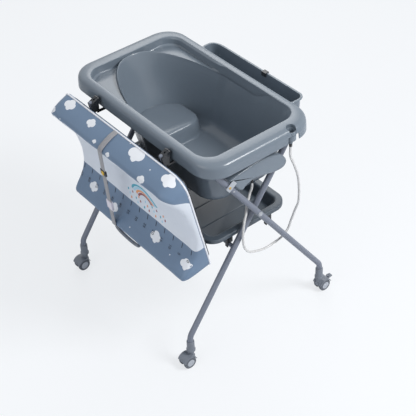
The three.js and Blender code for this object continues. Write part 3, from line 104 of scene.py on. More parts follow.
# Bathtub: the rim, the skirt and the bowl
rim_top = 890
rim_half_length = 412
rim_half_width = 238
rim_corner = 92
skirt_depth = 52
tub_wall = 3.2
tub_rib_x = 120
inner_half_length = 352
inner_half_width = 203
inner_corner = 60
bowl_depth = 262
floor_height = rim_top - bowl_depth
drain_x = 214
# Edges sharper than this many degrees stay sharp on the tub
tub_crease = 34

# Inside the tub: the ledge at the head, the arch round it with its crest, and the raised seat
ledge_height = 860
ledge_width_share = 0.972
crest_high = 881
crest_low = 846
lip_width = 14
ray_spread = 215
arch_head = 345
arch_run = 322
arch_point = 1.4
blend_length = 90
blend_start = 28
foot_blend_start = 110
foot_blend_length = 110
arch_side_share = 0.96
seat_front = -60
seat_centre = -150
seat_half_width = 118
seat_height = 64
seat_corner_run = 58
seat_corner_side = 64

# Trough and tray
trough_top = 856
trough_depth = 66
moulded_wall = 2.6
trough_half_width = 43
trough_gap = 1
hook_x = 150
hook_y = 229.2
hook_z = 833.7
hook_thickness = 4
tray_corner = 58
tray_rib_spacing = 100
tray_rib_half_length = 125

# Hose holder, elbow and hose
holder_x = 395
holder_y = 129
holder_top = 876
holder_radius = 17
sleeve_foot = 840
cup_depth = 26
neck_length = 26
elbow_x = 329.1
elbow_y = 11
elbow_height = 690
elbow_drop = 16
elbow_bend = 7
elbow_radius = 5
hose_radius = 4.5

# Mat: its place, its back, its rails and piping, and how its corners and ends are rounded
mat_lean = math.radians(12.3)
hinge_y = -250
hinge_z = 872
mat_half_length = 353
mat_height = 434
mat_top_drop = 14
mat_back = 41
mat_rail_out = 28.7
mat_rail_top = -4
mat_rail_foot = 481
mat_rail_radius = 6
piping_radius = 3.2
piping_out = 7
cushion_depth = 122
end_depth_share = 0.2
mat_corner_near = 66.0
mat_corner_far = 32.0
mat_corner_low = 26.0
end_round_near = 56.0
end_round_far = 15.0
end_round_low = 26.0
end_closing = 13.0

# Strap and handle
strap_top_x = -25
strap_foot_x = -72
strap_half_width = 12
strap_gap = 1.4
handle_x = -10
handle_out = 156
handle_half_width = 70
handle_top = 0.9
handle_hang = 37.5
handle_radius = 6.6

# Prints on the mat: films on its cover, and the white middle's start and end round the section
film_lift = 0.3
white_from = 106
white_to = 410
band_x = 60
band_foot = 372
band_width = 10
band_pitch = 13
tick_count = 14
tick_spacing = 50.3
first_tick = 325
tick_from = 413
tick_to = 433
numeral_girth = 461
dot_radius = 2.4

# Stage: the camera's direction, distance and lens, fitted to the photograph, and the floor
camera_turns = (53.5719, 38.6471, -3.2248)
camera_aim = (0, 0, 500)
camera_distance = 4160.4
focal_pixels = 1111.58
frame_pixels = 416
centre_pixels = (192.74, 178.33)
sensor_width = 36
floor_half_width = 9000
# Share of the floor's brightness that no shadow takes away, seen by the camera only
floor_glow = 0.72


def linear(code):
    """A colour for a socket from its sRGB hex value."""
    parts = np.array([int(code[i:i + 2], 16) for i in (1, 3, 5)]) / 255
    return (*np.where(parts <= 0.04045, parts / 12.92, ((parts + 0.055) / 1.055) ** 2.4), 1)


def toned(colour, by):
    """The same colour, lighter or darker by a share."""
    return (*(min(part * (1 + by), 1) for part in colour[:3]), 1)


def add_node(tree, kind, inputs=None, **settings):
    """A node with its settings, whose inputs are set to values or linked from sockets."""
    node = tree.nodes.new(kind)
    for name, value in settings.items():
        setattr(node, name, value)
    for key, value in (inputs or {}).items():
        if isinstance(value, bpy.types.NodeSocket):
            tree.links.new(value, node.inputs[key])
        else:
            node.inputs[key].default_value = value
    return node


def empty_tree(owner):
    """The node tree of a new material or world, with nothing in it."""
    owner.use_nodes = True
    owner.node_tree.nodes.clear()
    return owner.node_tree


def surface(name, colour, roughness, tone=0.05, patch=140, grain=1.6, relief=0.03, **shader):
    """A finish with broad changes of tone and gloss over a fine grain in relief, in object millimetres.
    Grains are drawn coarser than real ones, so that they show."""
    made = bpy.data.materials.get(name)
    if made:
        return made
    made = bpy.data.materials.new(name)
    tree = empty_tree(made)
    place = add_node(tree, "ShaderNodeTexCoord").outputs["Object"]
    broad = add_node(tree, "ShaderNodeTexNoise", {
        "Vector": place, "Scale": 1 / (patch * MM), "Detail": 3, "Roughness": 0.55})
    fine = add_node(tree, "ShaderNodeTexNoise", {
        "Vector": place, "Scale": 1 / (grain * MM), "Detail": 2, "Roughness": 0.6})
    mixed = add_node(tree, "ShaderNodeMix", {
        "Factor": broad.outputs["Fac"], "A": toned(colour, -tone), "B": toned(colour, tone)},
        data_type="RGBA")
    gloss = add_node(tree, "ShaderNodeMapRange", {
        "Value": broad.outputs["Fac"], "From Min": 0.3, "From Max": 0.7,
        "To Min": roughness * 0.86, "To Max": roughness * 1.14})
    bump = add_node(tree, "ShaderNodeBump", {
        "Height": fine.outputs["Fac"], "Strength": 0.5, "Distance": relief * MM})
    shade = add_node(tree, "ShaderNodeBsdfPrincipled", {
        "Base Color": mixed.outputs["Result"], "Roughness": gloss.outputs["Result"],
        "Normal": bump.outputs["Normal"], **shader})
    add_node(tree, "ShaderNodeOutputMaterial", {"Surface": shade.outputs["BSDF"]})
    return made


def colour_of(name):
    """A colour from the panel's settings, for a socket."""
    return (*getattr(bpy.context.scene.changing_table, name), 1)


# Injection-moulded polypropylene with a satin gloss: soft broad highlights over a faint mould grain
def tub_plastic():
    return surface("moulded polypropylene", colour_of("tub_colour"), 0.22, grain=1.2, relief=0.015)


# The same plastic in a darker grey, a little rougher
def tray_plastic():
    return surface("moulded polypropylene, dark", colour_of("tray_colour"), 0.34, grain=1.2, relief=0.03)


# Powder coat baked on steel tube: an even colour with a slight orange-peel relief
def tube_coat():
    return surface("powder-coated steel", colour_of("tube_colour"), 0.36, tone=0.04, grain=2.4, relief=0.05)


# Zinc plate on pressed steel: bright, with a fine matt spangle
def zinc():
    return surface("zinc-plated steel", linear("#b9bcc0"), 0.34, tone=0.1, patch=14, grain=0.9, relief=0.02,
                   Metallic=1)


# Brass plate on the covers' steel rivets: a warm yellow shine
def brass():
    return surface("brass-plated steel", linear("#c9a86a"), 0.3, tone=0.1, patch=8, grain=0.6, relief=0.02,
                   Metallic=1)


# Black polyamide, moulded: near black, with a soft gloss along its edges
def black_nylon():
    return surface("black polyamide", linear("#23262b"), 0.26, tone=0.12, patch=40, grain=0.8, relief=0.03)


# Grey polyamide of the castors and sockets, with a fine spark-eroded texture
def castor_nylon():
    return surface("grey polyamide", colour_of("castor_colour"), 0.4, grain=0.7, relief=0.05, patch=50)


# Soft grey rubber moulded round each wheel: matt and darker than the hoods
def castor_tread():
    colour = toned(colour_of("castor_colour"), -0.35)
    return surface("grey rubber tread", colour, 0.55, grain=0.9, relief=0.06, patch=40)


# Pale polyamide discs pressed into the wheels
def hub_plastic():
    return surface("light grey polyamide", linear("#b4b9c1"), 0.33, grain=0.7, relief=0.03, patch=30)


# Soft PVC drawn into a clear hose: milky, with a wet gloss and some light through its wall
def hose_vinyl():
    return surface("clear PVC hose", linear("#e6e5e4"), 0.22, tone=0.03, patch=30, grain=3, relief=0.03,
                   **{"Transmission Weight": 0.22, "IOR": 1.52})


# Unpainted acetal of the strap's buckle, moulded with a satin face
def pale_plastic():
    return surface("pale acetal", linear("#e2dde6"), 0.32, tone=0.03, patch=20, grain=0.7, relief=0.02)


# Yellow acetal of the mark on the strap's slider: one warm spot on black
def yellow_plastic():
    return surface("yellow acetal", linear("#e0b83c"), 0.4, tone=0.03, patch=20, grain=0.7, relief=0.02)


# Coated cloth: woven polyester under a thin polyurethane skin, so a soft sheen over a fine leathery grain
def cover_cloth(name, code):
    return surface(name, linear(code), 0.46, tone=0.05, patch=90, grain=1.5, relief=0.09,
                   **{"Sheen Weight": 0.12, "Sheen Roughness": 0.4})


def webbing(name, code):
    """Woven polypropylene: ribs along the band and picks across it, from the band's own UV in metres.
    They are drawn coarser than real ones, so that they show."""
    made = bpy.data.materials.get(name)
    if made:
        return made
    made = bpy.data.materials.new(name)
    tree = empty_tree(made)
    rib = 2.4
    scale = math.tau / (20 * rib * MM)
    place = add_node(tree, "ShaderNodeUVMap", uv_map="UVMap").outputs["UV"]
    picks = add_node(tree, "ShaderNodeTexWave", {
        "Vector": place, "Scale": scale, "Distortion": 0.6, "Detail": 1}, bands_direction="Y")
    ribs = add_node(tree, "ShaderNodeTexWave", {
        "Vector": place, "Scale": scale, "Distortion": 0.4, "Detail": 1}, bands_direction="X")
    weave = add_node(tree, "ShaderNodeMath", {0: picks.outputs["Fac"], 1: ribs.outputs["Fac"]},
                     operation="MAXIMUM")
    colour = linear(code)
    mixed = add_node(tree, "ShaderNodeMix", {
        "Factor": weave.outputs["Value"], "A": toned(colour, -0.28), "B": toned(colour, 0.1)},
        data_type="RGBA")
    bump = add_node(tree, "ShaderNodeBump", {
        "Height": weave.outputs["Value"], "Strength": 0.7, "Distance": 0.35 * MM})
    shade = add_node(tree, "ShaderNodeBsdfPrincipled", {
        "Base Color": mixed.outputs["Result"], "Roughness": 0.72, "Normal": bump.outputs["Normal"],
        "Sheen Weight": 0.25})
    add_node(tree, "ShaderNodeOutputMaterial", {"Surface": shade.outputs["BSDF"]})
    return made


def skin(points, ring=True, caps=True):
    """Quads over a grid of points, closed round each row where it is a ring, with a face over each end."""
    points = np.asarray(points, float)
    count, width = points.shape[:2]
    i, j = np.meshgrid(np.arange(count - 1), np.arange(width if ring else width - 1), indexing="ij")
    beside = (j + 1) % width
    quads = np.stack([i * width + j, i * width + beside, (i + 1) * width + beside, (i + 1) * width + j], -1)
    faces = quads.reshape(-1, 4).tolist()
    if ring and caps:
        faces.append(np.arange(width)[::-1].tolist())
        faces.append(np.arange((count - 1) * width, count * width).tolist())
    return points.reshape(-1, 3), faces


def mesh_of(name, patches):
    """One mesh in metres from patches of points and faces in millimetres."""
    starts = np.cumsum([0] + [len(points) for points, faces in patches])
    faces = [[i + start for i in face] for (points, faces), start in zip(patches, starts) for face in faces]
    mesh = bpy.data.meshes.new(name)
    mesh.from_pydata((np.concatenate([points for points, faces in patches]) * MM).tolist(), [], faces)
    return mesh


def merge(mesh, join_flat=False):
    """Joins doubled points, joins flat faces where asked, and turns all faces outwards."""
    shape = bmesh.new()
    shape.from_mesh(mesh)
    bmesh.ops.remove_doubles(shape, verts=shape.verts, dist=merge_distance)
    if join_flat:
        limit = math.radians(flat_angle)
        bmesh.ops.dissolve_limit(shape, angle_limit=limit, verts=shape.verts, edges=shape.edges)
    bmesh.ops.recalc_face_normals(shape, faces=shape.faces)
    shape.to_mesh(mesh)
    shape.free()


def piece(name, patches, material, nodes=(), beside=None, crease=38, uv=None):
    """One object from patches of points and faces, on the body of its first node."""
    mesh = mesh_of(name, patches)
    if uv is not None:
        corners = np.empty(len(mesh.loops), int)
        mesh.loops.foreach_get("vertex_index", corners)
        mesh.uv_layers.new(name="UVMap").data.foreach_set("uv", uv.reshape(-1, 2)[corners].ravel())
    merge(mesh)
    return finished(mesh, material, nodes, beside, crease)


def finished(mesh, material, nodes, beside, crease, bevel=0):
    """An object of the mesh, shaded and put on its body, with its edges rounded where asked."""
    mesh.materials.clear()
    mesh.materials.append(material)
    mesh.shade_smooth()
    mesh.set_sharp_from_angle(angle=math.radians(crease))
    made = bpy.data.objects.new(mesh.name, mesh)
    bpy.context.scene.collection.objects.link(made)
    if bevel:
        edge = made.modifiers.new("rounded edges", "BEVEL")
        edge.width = bevel * MM
        edge.segments = 2
        edge.limit_method = "ANGLE"
        edge.angle_limit = math.radians(crease)
        edge.harden_normals = True
    nodes = [nodes] if isinstance(nodes, str) else list(nodes)
    home = nodes[0] if nodes else beside
    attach(made, home_body[home])
    if nodes:
        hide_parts(*nodes)
    return made


def refined(node, material, bevel=0.5, crease=30):
    """A merged copy of a fitting's solid, with its flat faces joined and its edges rounded."""
    mesh = bpy.data.objects[node].data.copy()
    mesh.name = node + "_moulded"
    merge(mesh, join_flat=True)
    return finished(mesh, material, node, None, crease, bevel)


def node_box(node):
    """A node's lowest and highest corners in millimetres."""
    low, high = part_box(node)
    return np.array(low) / MM, np.array(high) / MM


def unit(vector):
    """The same direction, or directions, with a length of one."""
    vector = np.asarray(vector, float)
    return vector / np.linalg.norm(vector, axis=-1, keepdims=True)


def hermite(share, first, second, lead, trail):
    """A cubic from the first place to the second, with its tangent given at each."""
    return ((2 * share ** 3 - 3 * share ** 2 + 1) * first + (share ** 3 - 2 * share ** 2 + share) * lead
            + (3 * share ** 2 - 2 * share ** 3) * second + (share ** 3 - share ** 2) * trail)


def length_along(path):
    """The distance from a path's start to each of its points."""
    return np.concatenate([[0], np.cumsum(np.linalg.norm(np.diff(path, axis=0), axis=1))])


def smooth_step(share):
    """From nought to one as the share does, and level at both ends."""
    share = np.clip(share, 0, 1)
    return share * share * (3 - 2 * share)


def eased(points, per_span):
    """More rings between the given ones, on a cubic through each column that never overshoots."""
    points = np.asarray(points, float)
    spans = np.linalg.norm(np.diff(points, axis=0), axis=-1)
    spans = spans.mean(axis=tuple(range(1, spans.ndim))) if spans.ndim > 1 else spans
    steps = spans.reshape(-1, *[1] * (points.ndim - 1))
    slope = np.diff(points, axis=0) / steps
    before, after = slope[:-1], slope[1:]
    alike = before * after > 0
    inner = np.where(alike, 2 * before * after / np.where(alike, before + after, 1), 0)
    tangent = np.concatenate([slope[:1], inner, slope[-1:]])
    share = (np.arange(per_span) / per_span).reshape(1, -1, *[1] * (points.ndim - 1))
    first, second = points[:-1, None], points[1:, None]
    lead, trail = tangent[:-1, None] * steps[:, None], tangent[1:, None] * steps[:, None]
    between = hermite(share, first, second, lead, trail)
    return np.concatenate([between.reshape(-1, *points.shape[1:]), points[-1:]])


def bent(corners, radius, step=6):
    """Straight runs joined by arcs of one radius, each tangent to both of its runs."""
    corners = np.asarray(corners, float)
    path = [corners[:1]]
    for before, corner, after in zip(corners, corners[1:], corners[2:]):
        into, out = unit(corner - before), unit(after - corner)
        turn = math.acos(np.clip(into @ out, -1, 1))
        start = corner - into * radius * math.tan(turn / 2)
        inward = unit(out - into * (into @ out))
        angle = np.linspace(0, turn, max(3, round(math.degrees(turn) / step)))[:, None]
        path.append(start + radius * (np.sin(angle) * into + (1 - np.cos(angle)) * inward))
    return np.concatenate([*path, corners[-1:]])


def frames_along(path):
    """Direction, side and upward arrow at each point of a path, with as little twist as possible."""
    along = unit(np.gradient(path, axis=0))
    side = np.zeros_like(path)
    side[0] = unit(np.cross(along[0], (0.31, 0.47, 0.83)))
    for k in range(1, len(path)):
        side[k] = unit(side[k - 1] - along[k] * (side[k - 1] @ along[k]))
    return along, side, np.cross(along, side)


def swept(path, radius, sides=32):
    """A circle of the radius, one or one for each point, carried along a path."""
    path = np.asarray(path, float)
    _, side, up = frames_along(path)
    angle = np.linspace(0, math.tau, sides, endpoint=False)
    radius = np.broadcast_to(radius, len(path))[:, None, None]
    return skin(path[:, None] + radius * (np.cos(angle)[:, None] * side[:, None]
                                          + np.sin(angle)[:, None] * up[:, None]))


def turned(profile, centre, axis=(0, 0, 1), sides=48, caps=True):
    """A profile of radius and distance along an axis, turned round that axis."""
    axis = unit(axis)
    side = unit(np.cross(axis, (0.9, 0.3, 0.1) if abs(axis[0]) < 0.8 else (0.1, 0.3, 0.9)))
    angle = np.linspace(0, math.tau, sides, endpoint=False)[:, None]
    spoke = np.cos(angle) * side + np.sin(angle) * np.cross(axis, side)
    profile = np.asarray(profile, float)
    points = np.asarray(centre, float) + profile[:, :1, None] * spoke + profile[:, 1:, None] * axis
    return skin(points, caps=caps)


def rounded_box(low, high, radius, turn=None, steps=6):
    """A ball's grid of directions whose octants are pushed out to the corners of a box."""
    low, high = np.asarray(low, float), np.asarray(high, float)
    half = (high - low) / 2
    radius = min(radius, *half)
    quarter = np.linspace(0, math.pi / 2, steps)
    around = np.concatenate([quarter + k * math.pi / 2 for k in range(4)])
    rise = np.concatenate([quarter - math.pi / 2, quarter])
    corner_x = np.repeat([1, -1, -1, 1], steps)
    corner_y = np.repeat([1, 1, -1, -1], steps)
    corner_z = np.repeat([-1, 1], steps)[:, None]
    flat = np.cos(rise)[:, None]
    ball = np.stack([flat * np.cos(around), flat * np.sin(around), np.sin(rise)[:, None] + 0 * around], -1)
    corner = np.stack([corner_x + 0 * corner_z, corner_y + 0 * corner_z, corner_z + 0 * corner_x], -1)
    points = corner * (half - radius) + ball * radius
    if turn is not None:
        points = points @ np.array(turn).T
    return skin(points + (low + high) / 2)


def cutting(target, patches):
    """Takes shapes away from a finished object, and keeps the result in its mesh."""
    mesh = mesh_of("cutter", patches)
    merge(mesh)
    cutter = bpy.data.objects.new("cutter", mesh)
    bpy.context.scene.collection.objects.link(cutter)
    change = target.modifiers.new("cut", "BOOLEAN")
    change.operation = "DIFFERENCE"
    change.object = cutter
    change.solver = "EXACT"
    bpy.context.view_layer.update()
    cut = bpy.data.meshes.new_from_object(target.evaluated_get(bpy.context.evaluated_depsgraph_get()))
    target.modifiers.clear()
    target.data = cut
    cut.shade_smooth()
    cut.set_sharp_from_angle(angle=math.radians(tub_crease))
    bpy.data.objects.remove(cutter)


# Plans of the tub, each as head, foot, half width, head run and side, foot run and side
def even_plan(length, half, corner):
    """A plan with the same round corners at its head and its foot."""
    return np.array([length, length, half, corner, corner, corner, corner], float)


rim_outer = even_plan(rim_half_length, rim_half_width, rim_corner)
rim_inner = even_plan(inner_half_length, inner_half_width, inner_corner)
arch_plan = np.array([
    arch_head, inner_half_length, inner_half_width, arch_run, inner_half_width * arch_side_share,
    inner_corner, inner_corner])
floor_plan = np.array([215, 262, 112, 190, 112 * arch_side_share, 76, 76], float)


def plan_between(first, second, foot, side, head):
    """A plan between two others, by shares for its foot, its sides and its head."""
    share = np.array([head, foot, side, head, side, foot, side])
    return first + (second - first) * share


def within(plan, x, y, point=2):
    """True where a place lies inside a plan: elliptical corners at the foot, and at the head
    a curve (run ** point + side ** 2 = 1) that comes to a blunter or a sharper end."""
    head, foot, half, head_run, head_side, foot_run, foot_side = plan
    side = np.abs(y)
    past_foot = np.maximum((x - foot + foot_run) / foot_run, 0)
    beside_foot = np.maximum((side - half + foot_side) / foot_side, 0)
    past_head = np.maximum((head_run - head - x) / head_run, 0)
    beside_head = np.maximum((side - half + head_side) / head_side, 0)
    foot_in = (past_foot == 0) | (np.hypot(past_foot, beside_foot) <= 1)
    head_in = (past_head == 0) | (past_head ** point + beside_head ** 2 <= 1)
    return (x <= foot) & (x >= -head) & (side <= half) & foot_in & head_in


def plan_outline(plan, corner_steps, side_steps):
    """Quarter ellipses at the four corners, joined by straight sides."""
    head, foot, half, head_run, head_side, foot_run, foot_side = plan
    quarter = np.linspace(0, math.pi / 2, corner_steps)
    front = np.stack([foot - foot_run + foot_run * np.cos(quarter),
                      half - foot_side + foot_side * np.sin(quarter)], -1)
    back = np.stack([head_run - head - head_run * np.sin(quarter),
                     half - head_side + head_side * np.cos(quarter)], -1)
    share = np.linspace(0, 1, side_steps + 1)[1:-1, None]
    side = front[-1] + (back[0] - front[-1]) * share
    mirrored = np.array([1, -1])
    end_share = np.linspace(0, 1, 10)[1:-1, None]
    head_end = back[-1] + (back[-1] * mirrored - back[-1]) * end_share
    foot_end_side = front[0] * mirrored + (front[0] - front[0] * mirrored) * end_share
    return np.concatenate([
        front, side, back, head_end, back[::-1] * mirrored, side[::-1] * mirrored,
        front[::-1] * mirrored, foot_end_side])


class Rays:
    """Rays that each ring of a shape crosses once, so that its rings share their columns."""

    def __init__(self, target, lowest, highest):
        self.origin = np.clip(target[:, 0], lowest, highest)
        self.toward = unit(target - np.stack([self.origin, 0 * self.origin], -1))

    def leaving(self, *plans):
        """Where each ray leaves the first of some plans with their points, found by halving."""
        inside = np.zeros(len(self.origin))
        outside = np.full(len(self.origin), 2.0 * rim_half_length)
        for _ in range(36):
            middle = (inside + outside) / 2
            x, y = self.origin + self.toward[:, 0] * middle, self.toward[:, 1] * middle
            held = np.all([within(plan, x, y, point) for plan, point in plans], axis=0)
            inside = np.where(held, middle, inside)
            outside = np.where(held, outside, middle)
        return self.origin + self.toward[:, 0] * inside, self.toward[:, 1] * inside


def head_blend(x, at_sides, at_head):
    """A value that is one thing along the sides and another round the head end."""
    return at_sides + (at_head - at_sides) * smooth_step((-x - blend_start) / blend_length)


# Bowl: how far down each ring lies, and how far out at the foot, the sides and the head
bowl_shares = (
    (0.014, 0.965, 0.99, 0.985), (0.045, 0.91, 0.97, 0.955), (0.13, 0.81, 0.91, 0.88),
    (0.42, 0.695, 0.76, 0.62), (0.73, 0.59, 0.6, 0.31), (0.87, 0.51, 0.5, 0.18),
    (0.952, 0.35, 0.32, 0.09), (0.99, 0.16, 0.12, 0.03), (1, 0, 0, 0),
)

# Rim: how far across its band each ring lies, and how far it falls in skirt depths
rim_shares = (
    (0.02, 0.55), (0.045, 0.36), (0.1, 0.2), (0.22, 0.08),
    (0.45, 0.02), (0.8, 0), (0.97, 0.012), (1, 0.035),
)


def bowl_plan(row, out=0.0):
    """The plan of one ring of the bowl with its point, between the floor's plan and the arch's."""
    plan = plan_between(floor_plan, arch_plan, *row[1:]) + out
    return plan, arch_point + (2 - arch_point) * (1 - row[3])


def foot_share(x):
    """None along the sides, and all at the foot end, where the wall leaves the rim's very edge."""
    return smooth_step((x - foot_blend_start) / foot_blend_length)


def crest_height(x):
    """The arch's crest: highest at the head, then down along the sides until the wall takes it up."""
    share = np.clip((-x - blend_start) / (arch_head - blend_start), 0, 1)
    crest = crest_low + (crest_high - crest_low) * share ** 0.8
    return crest + (rim_top - 3 - crest_low) * foot_share(x)


def tub_rings():
    """The tub's wall as rings from its underside, over the skirt and the rim, and down into the bowl."""
    rays = Rays(plan_outline(rim_outer, 22, 90), ray_spread - arch_head,
                inner_half_length - rim_corner - inner_corner)

    def ring(plan, height, drawn=True, point=2.0):
        """Where the rays leave a plan, drawn in a little at the sides, at a height along the tub."""
        x, y = rays.leaving((plan, point))
        if drawn:
            y = y * np.maximum(ledge_width_share, 1 - head_blend(x, 0, 3 - 3 * ledge_width_share))
        return np.stack([x, y, height(x) + 0 * x], -1)

    def level(at_sides, at_head=None, at_foot=None):
        """A height that may be another one round the head and at the foot."""
        def height(x):
            along = head_blend(x, at_sides, at_sides if at_head is None else at_head)
            return along if at_foot is None else along + (at_foot - at_sides) * foot_share(x)
        return height

    def bowl(row, out):
        """A ring of the bowl, or of the wall's outside where it is moved out."""
        plan, point = bowl_plan(row, out)

        def height(x):
            return crest_height(x) * (1 - row[0]) + floor_height * row[0] - out
        return ring(plan, height, point=point)

    def rim(row, inward):
        """A ring of the rim's band, or of its underside where it is moved inward."""
        across, fall = row
        plan = plan_between(rim_outer, rim_inner, across, across, across) - inward
        return ring(plan, level(rim_top - fall * skirt_depth - inward), drawn=False)

    def lip(out, fall):
        """A ring of the crest's rounded edge, behind the arch and lower than its crest."""
        plan = arch_plan.copy()
        plan[[0, 3]] += out
        plan[2] -= 1 - out / lip_width
        plan[4] = plan[2] * arch_side_share

        def height(x):
            return np.maximum(crest_height(x) - fall * head_blend(x, 0.1, 1), crest_low - 9)
        return ring(plan, height, point=arch_point)

    top, wall = rim_top, tub_wall
    under, point = bowl_plan(bowl_shares[1], wall)
    outside = [
        *[bowl(row, wall) for row in bowl_shares[:1:-1]],
        ring(under, level(crest_low - 2 * wall, ledge_height - wall, top - 5 * wall), point=point),
        ring(rim_inner + wall / 2, level(top - 5 * wall, ledge_height - wall, top - 3 * wall)),
        ring(rim_inner + 0.75 * wall, level(top - 2.2 * wall, top - 4.3 * wall)),
        ring(rim_inner + wall, level(top - 1.4 * wall), drawn=False),
        rim((0.22, 0.08), wall),
        rim((0.1, 0.22), wall),
        ring(rim_outer - wall, level(top - skirt_depth), drawn=False),
    ]
    inside = [
        ring(rim_outer, level(top - skirt_depth), drawn=False),
        *[rim(row, 0) for row in rim_shares],
        ring(rim_inner - wall / 10, level(top - 0.8 * wall, top - 3.1 * wall)),
        ring(rim_inner - wall / 4, level(ledge_height + 3, ledge_height + 1.5, top - 0.9 * wall)),
        lip(lip_width + 14, 30),
        lip(lip_width + 2, 15),
        lip(lip_width * 0.7, 4.5),
        lip(lip_width * 0.4, 0.8),
        lip(lip_width * 0.12, 0),
        *[bowl(row, 0) for row in bowl_shares],
    ]
    return np.concatenate([eased(outside, 3), eased(inside, 6)])


class TABLE_OT_stage(bpy.types.Operator):
    """Set the floor, the lights and the camera"""
    bl_idname = "changing_table.stage"
    bl_label = "Stage and Camera"

    def execute(self, context):
        settings = context.scene.changing_table
        azimuth, elevation, roll = (math.radians(turn) for turn in camera_turns)
        back = Vector((math.sin(azimuth) * math.cos(elevation), -math.cos(azimuth) * math.cos(elevation),
                       math.sin(elevation)))
        right = (-back).cross(Vector((0, 0, 1))).normalized()
        up = right.cross(-back)
        level = right * math.cos(roll) + up * math.sin(roll)
        upright = up * math.cos(roll) - right * math.sin(roll)
        lens = bpy.data.cameras.new("camera")
        camera = bpy.data.objects.new("camera", lens)
        context.scene.collection.objects.link(camera)
        place = (Vector(camera_aim) + back * camera_distance) * MM
        turn = Matrix((level, upright, back)).transposed().to_4x4()
        camera.matrix_world = Matrix.Translation(place) @ turn
        lens.sensor_width = sensor_width
        lens.lens = focal_pixels * sensor_width / frame_pixels
        lens.shift_x = (frame_pixels / 2 - centre_pixels[0]) / frame_pixels
        lens.shift_y = (centre_pixels[1] - frame_pixels / 2) / frame_pixels
        context.scene.camera = camera

        view = context.scene.view_settings
        view.view_transform = "Standard"
        for name, place, size, power in (
                ("key", (2.5, 1.3, 3.4), 1.3, settings.key_power),
                ("fill", (0.6, -3.6, 2.2), 2.4, settings.fill_power),
                ("back", (-2.4, 1.9, 3.0), 1.8, settings.fill_power)):
            lamp = bpy.data.lights.new(name, "AREA")
            lamp.size = size
            lamp.energy = power
            made = bpy.data.objects.new(name, lamp)
            made.location = place
            made.rotation_euler = (Vector((0, 0, 0.5)) - made.location).to_track_quat("-Z", "Y").to_euler()
            context.scene.collection.objects.link(made)

        backdrop = (*settings.backdrop_colour, 1)
        world = bpy.data.worlds.new("pale studio")
        context.scene.world = world
        tree = empty_tree(world)
        seen = background_rays(tree)
        light = add_node(tree, "ShaderNodeBackground", {
            "Color": (0.93, 0.96, 1.0, 1), "Strength": settings.sky_strength})
        shown = add_node(tree, "ShaderNodeBackground", {"Color": backdrop, "Strength": 1})
        both = add_node(tree, "ShaderNodeMixShader", {
            0: seen, 1: light.outputs["Background"], 2: shown.outputs["Background"]})
        add_node(tree, "ShaderNodeOutputWorld", {"Surface": both.outputs["Shader"]})

        half = floor_half_width
        corners = np.array([[[-half, -half, 0], [half, -half, 0]], [[-half, half, 0], [half, half, 0]]])
        mesh = mesh_of("floor", [skin(corners, ring=False)])
        floor = bpy.data.objects.new("floor", mesh)
        context.scene.collection.objects.link(floor)
        paint = bpy.data.materials.new("pale floor")
        tree = empty_tree(paint)
        matt = add_node(tree, "ShaderNodeBsdfPrincipled", {
            "Base Color": (*settings.floor_colour, 1), "Roughness": 0.8, "Specular IOR Level": 0.1})
        glow = add_node(tree, "ShaderNodeEmission", {"Color": backdrop, "Strength": 1})
        path = add_node(tree, "ShaderNodeLightPath")
        share = add_node(tree, "ShaderNodeMath", {
            0: path.outputs["Is Camera Ray"], 1: floor_glow}, operation="MULTIPLY")
        lit = add_node(tree, "ShaderNodeMixShader", {
            0: share.outputs["Value"], 1: matt.outputs["BSDF"], 2: glow.outputs["Emission"]})
        add_node(tree, "ShaderNodeOutputMaterial", {"Surface": lit.outputs["Shader"]})
        mesh.materials.append(paint)
        return {"FINISHED"}


def background_rays(tree):
    """One for rays that show the background itself: from the camera, in gloss and through clear stuff."""
    path = add_node(tree, "ShaderNodeLightPath")
    gloss = add_node(tree, "ShaderNodeMath", {
        0: path.outputs["Is Camera Ray"], 1: path.outputs["Is Glossy Ray"]}, operation="MAXIMUM")
    clear = add_node(tree, "ShaderNodeMath", {
        0: gloss.outputs["Value"], 1: path.outputs["Is Transmission Ray"]}, operation="MAXIMUM")
    return clear.outputs["Value"]


# The hose's route from the holder round the legs and up to the elbow, as in the part's source
hose_route = (
    (395, 129, 807.7), (395, 129, 768), (400, 146, 715), (393, 168, 655), (391, 176, 598), (386, 181, 552),
    (374, 188, 510), (360, 186, 467), (351, 177, 420), (351, 160, 385), (351, 125, 364), (352, 88, 360),
    (358, 58, 366), (366, 25, 378), (367, -8, 389), (367, -38, 405), (367, -58, 432), (367, -66, 477),
    (367, -64, 520), (366, -58, 556), (362, -46, 585), (347, -30, 603), (336, -12, 615), (329.1, 1, 632),
    (329.1, 8, 646), (329.1, 11, 662), (329.1, 11, 673.7),
)


def centripetal(points, per_span):
    """A centripetal Catmull-Rom curve through the points."""
    points = np.asarray(points, float)
    padded = np.concatenate([[2 * points[0] - points[1]], points, [2 * points[-1] - points[-2]]])
    before, first, second, after = padded[:-3], padded[1:-2], padded[2:-1], padded[3:]
    gaps = [np.sqrt(np.linalg.norm(b - a, axis=1))[:, None] for a, b in (
        (before, first), (first, second), (second, after))]
    lead = ((first - before) / gaps[0] - (second - before) / (gaps[0] + gaps[1])
            + (second - first) / gaps[1]) * gaps[1]
    trail = ((second - first) / gaps[1] - (after - first) / (gaps[1] + gaps[2])
             + (after - second) / gaps[2]) * gaps[1]
    share = (np.arange(per_span) / per_span)[:, None, None]
    curve = hermite(share, first, second, lead, trail)
    return np.concatenate([curve.transpose(1, 0, 2).reshape(-1, 3), points[-1:]])


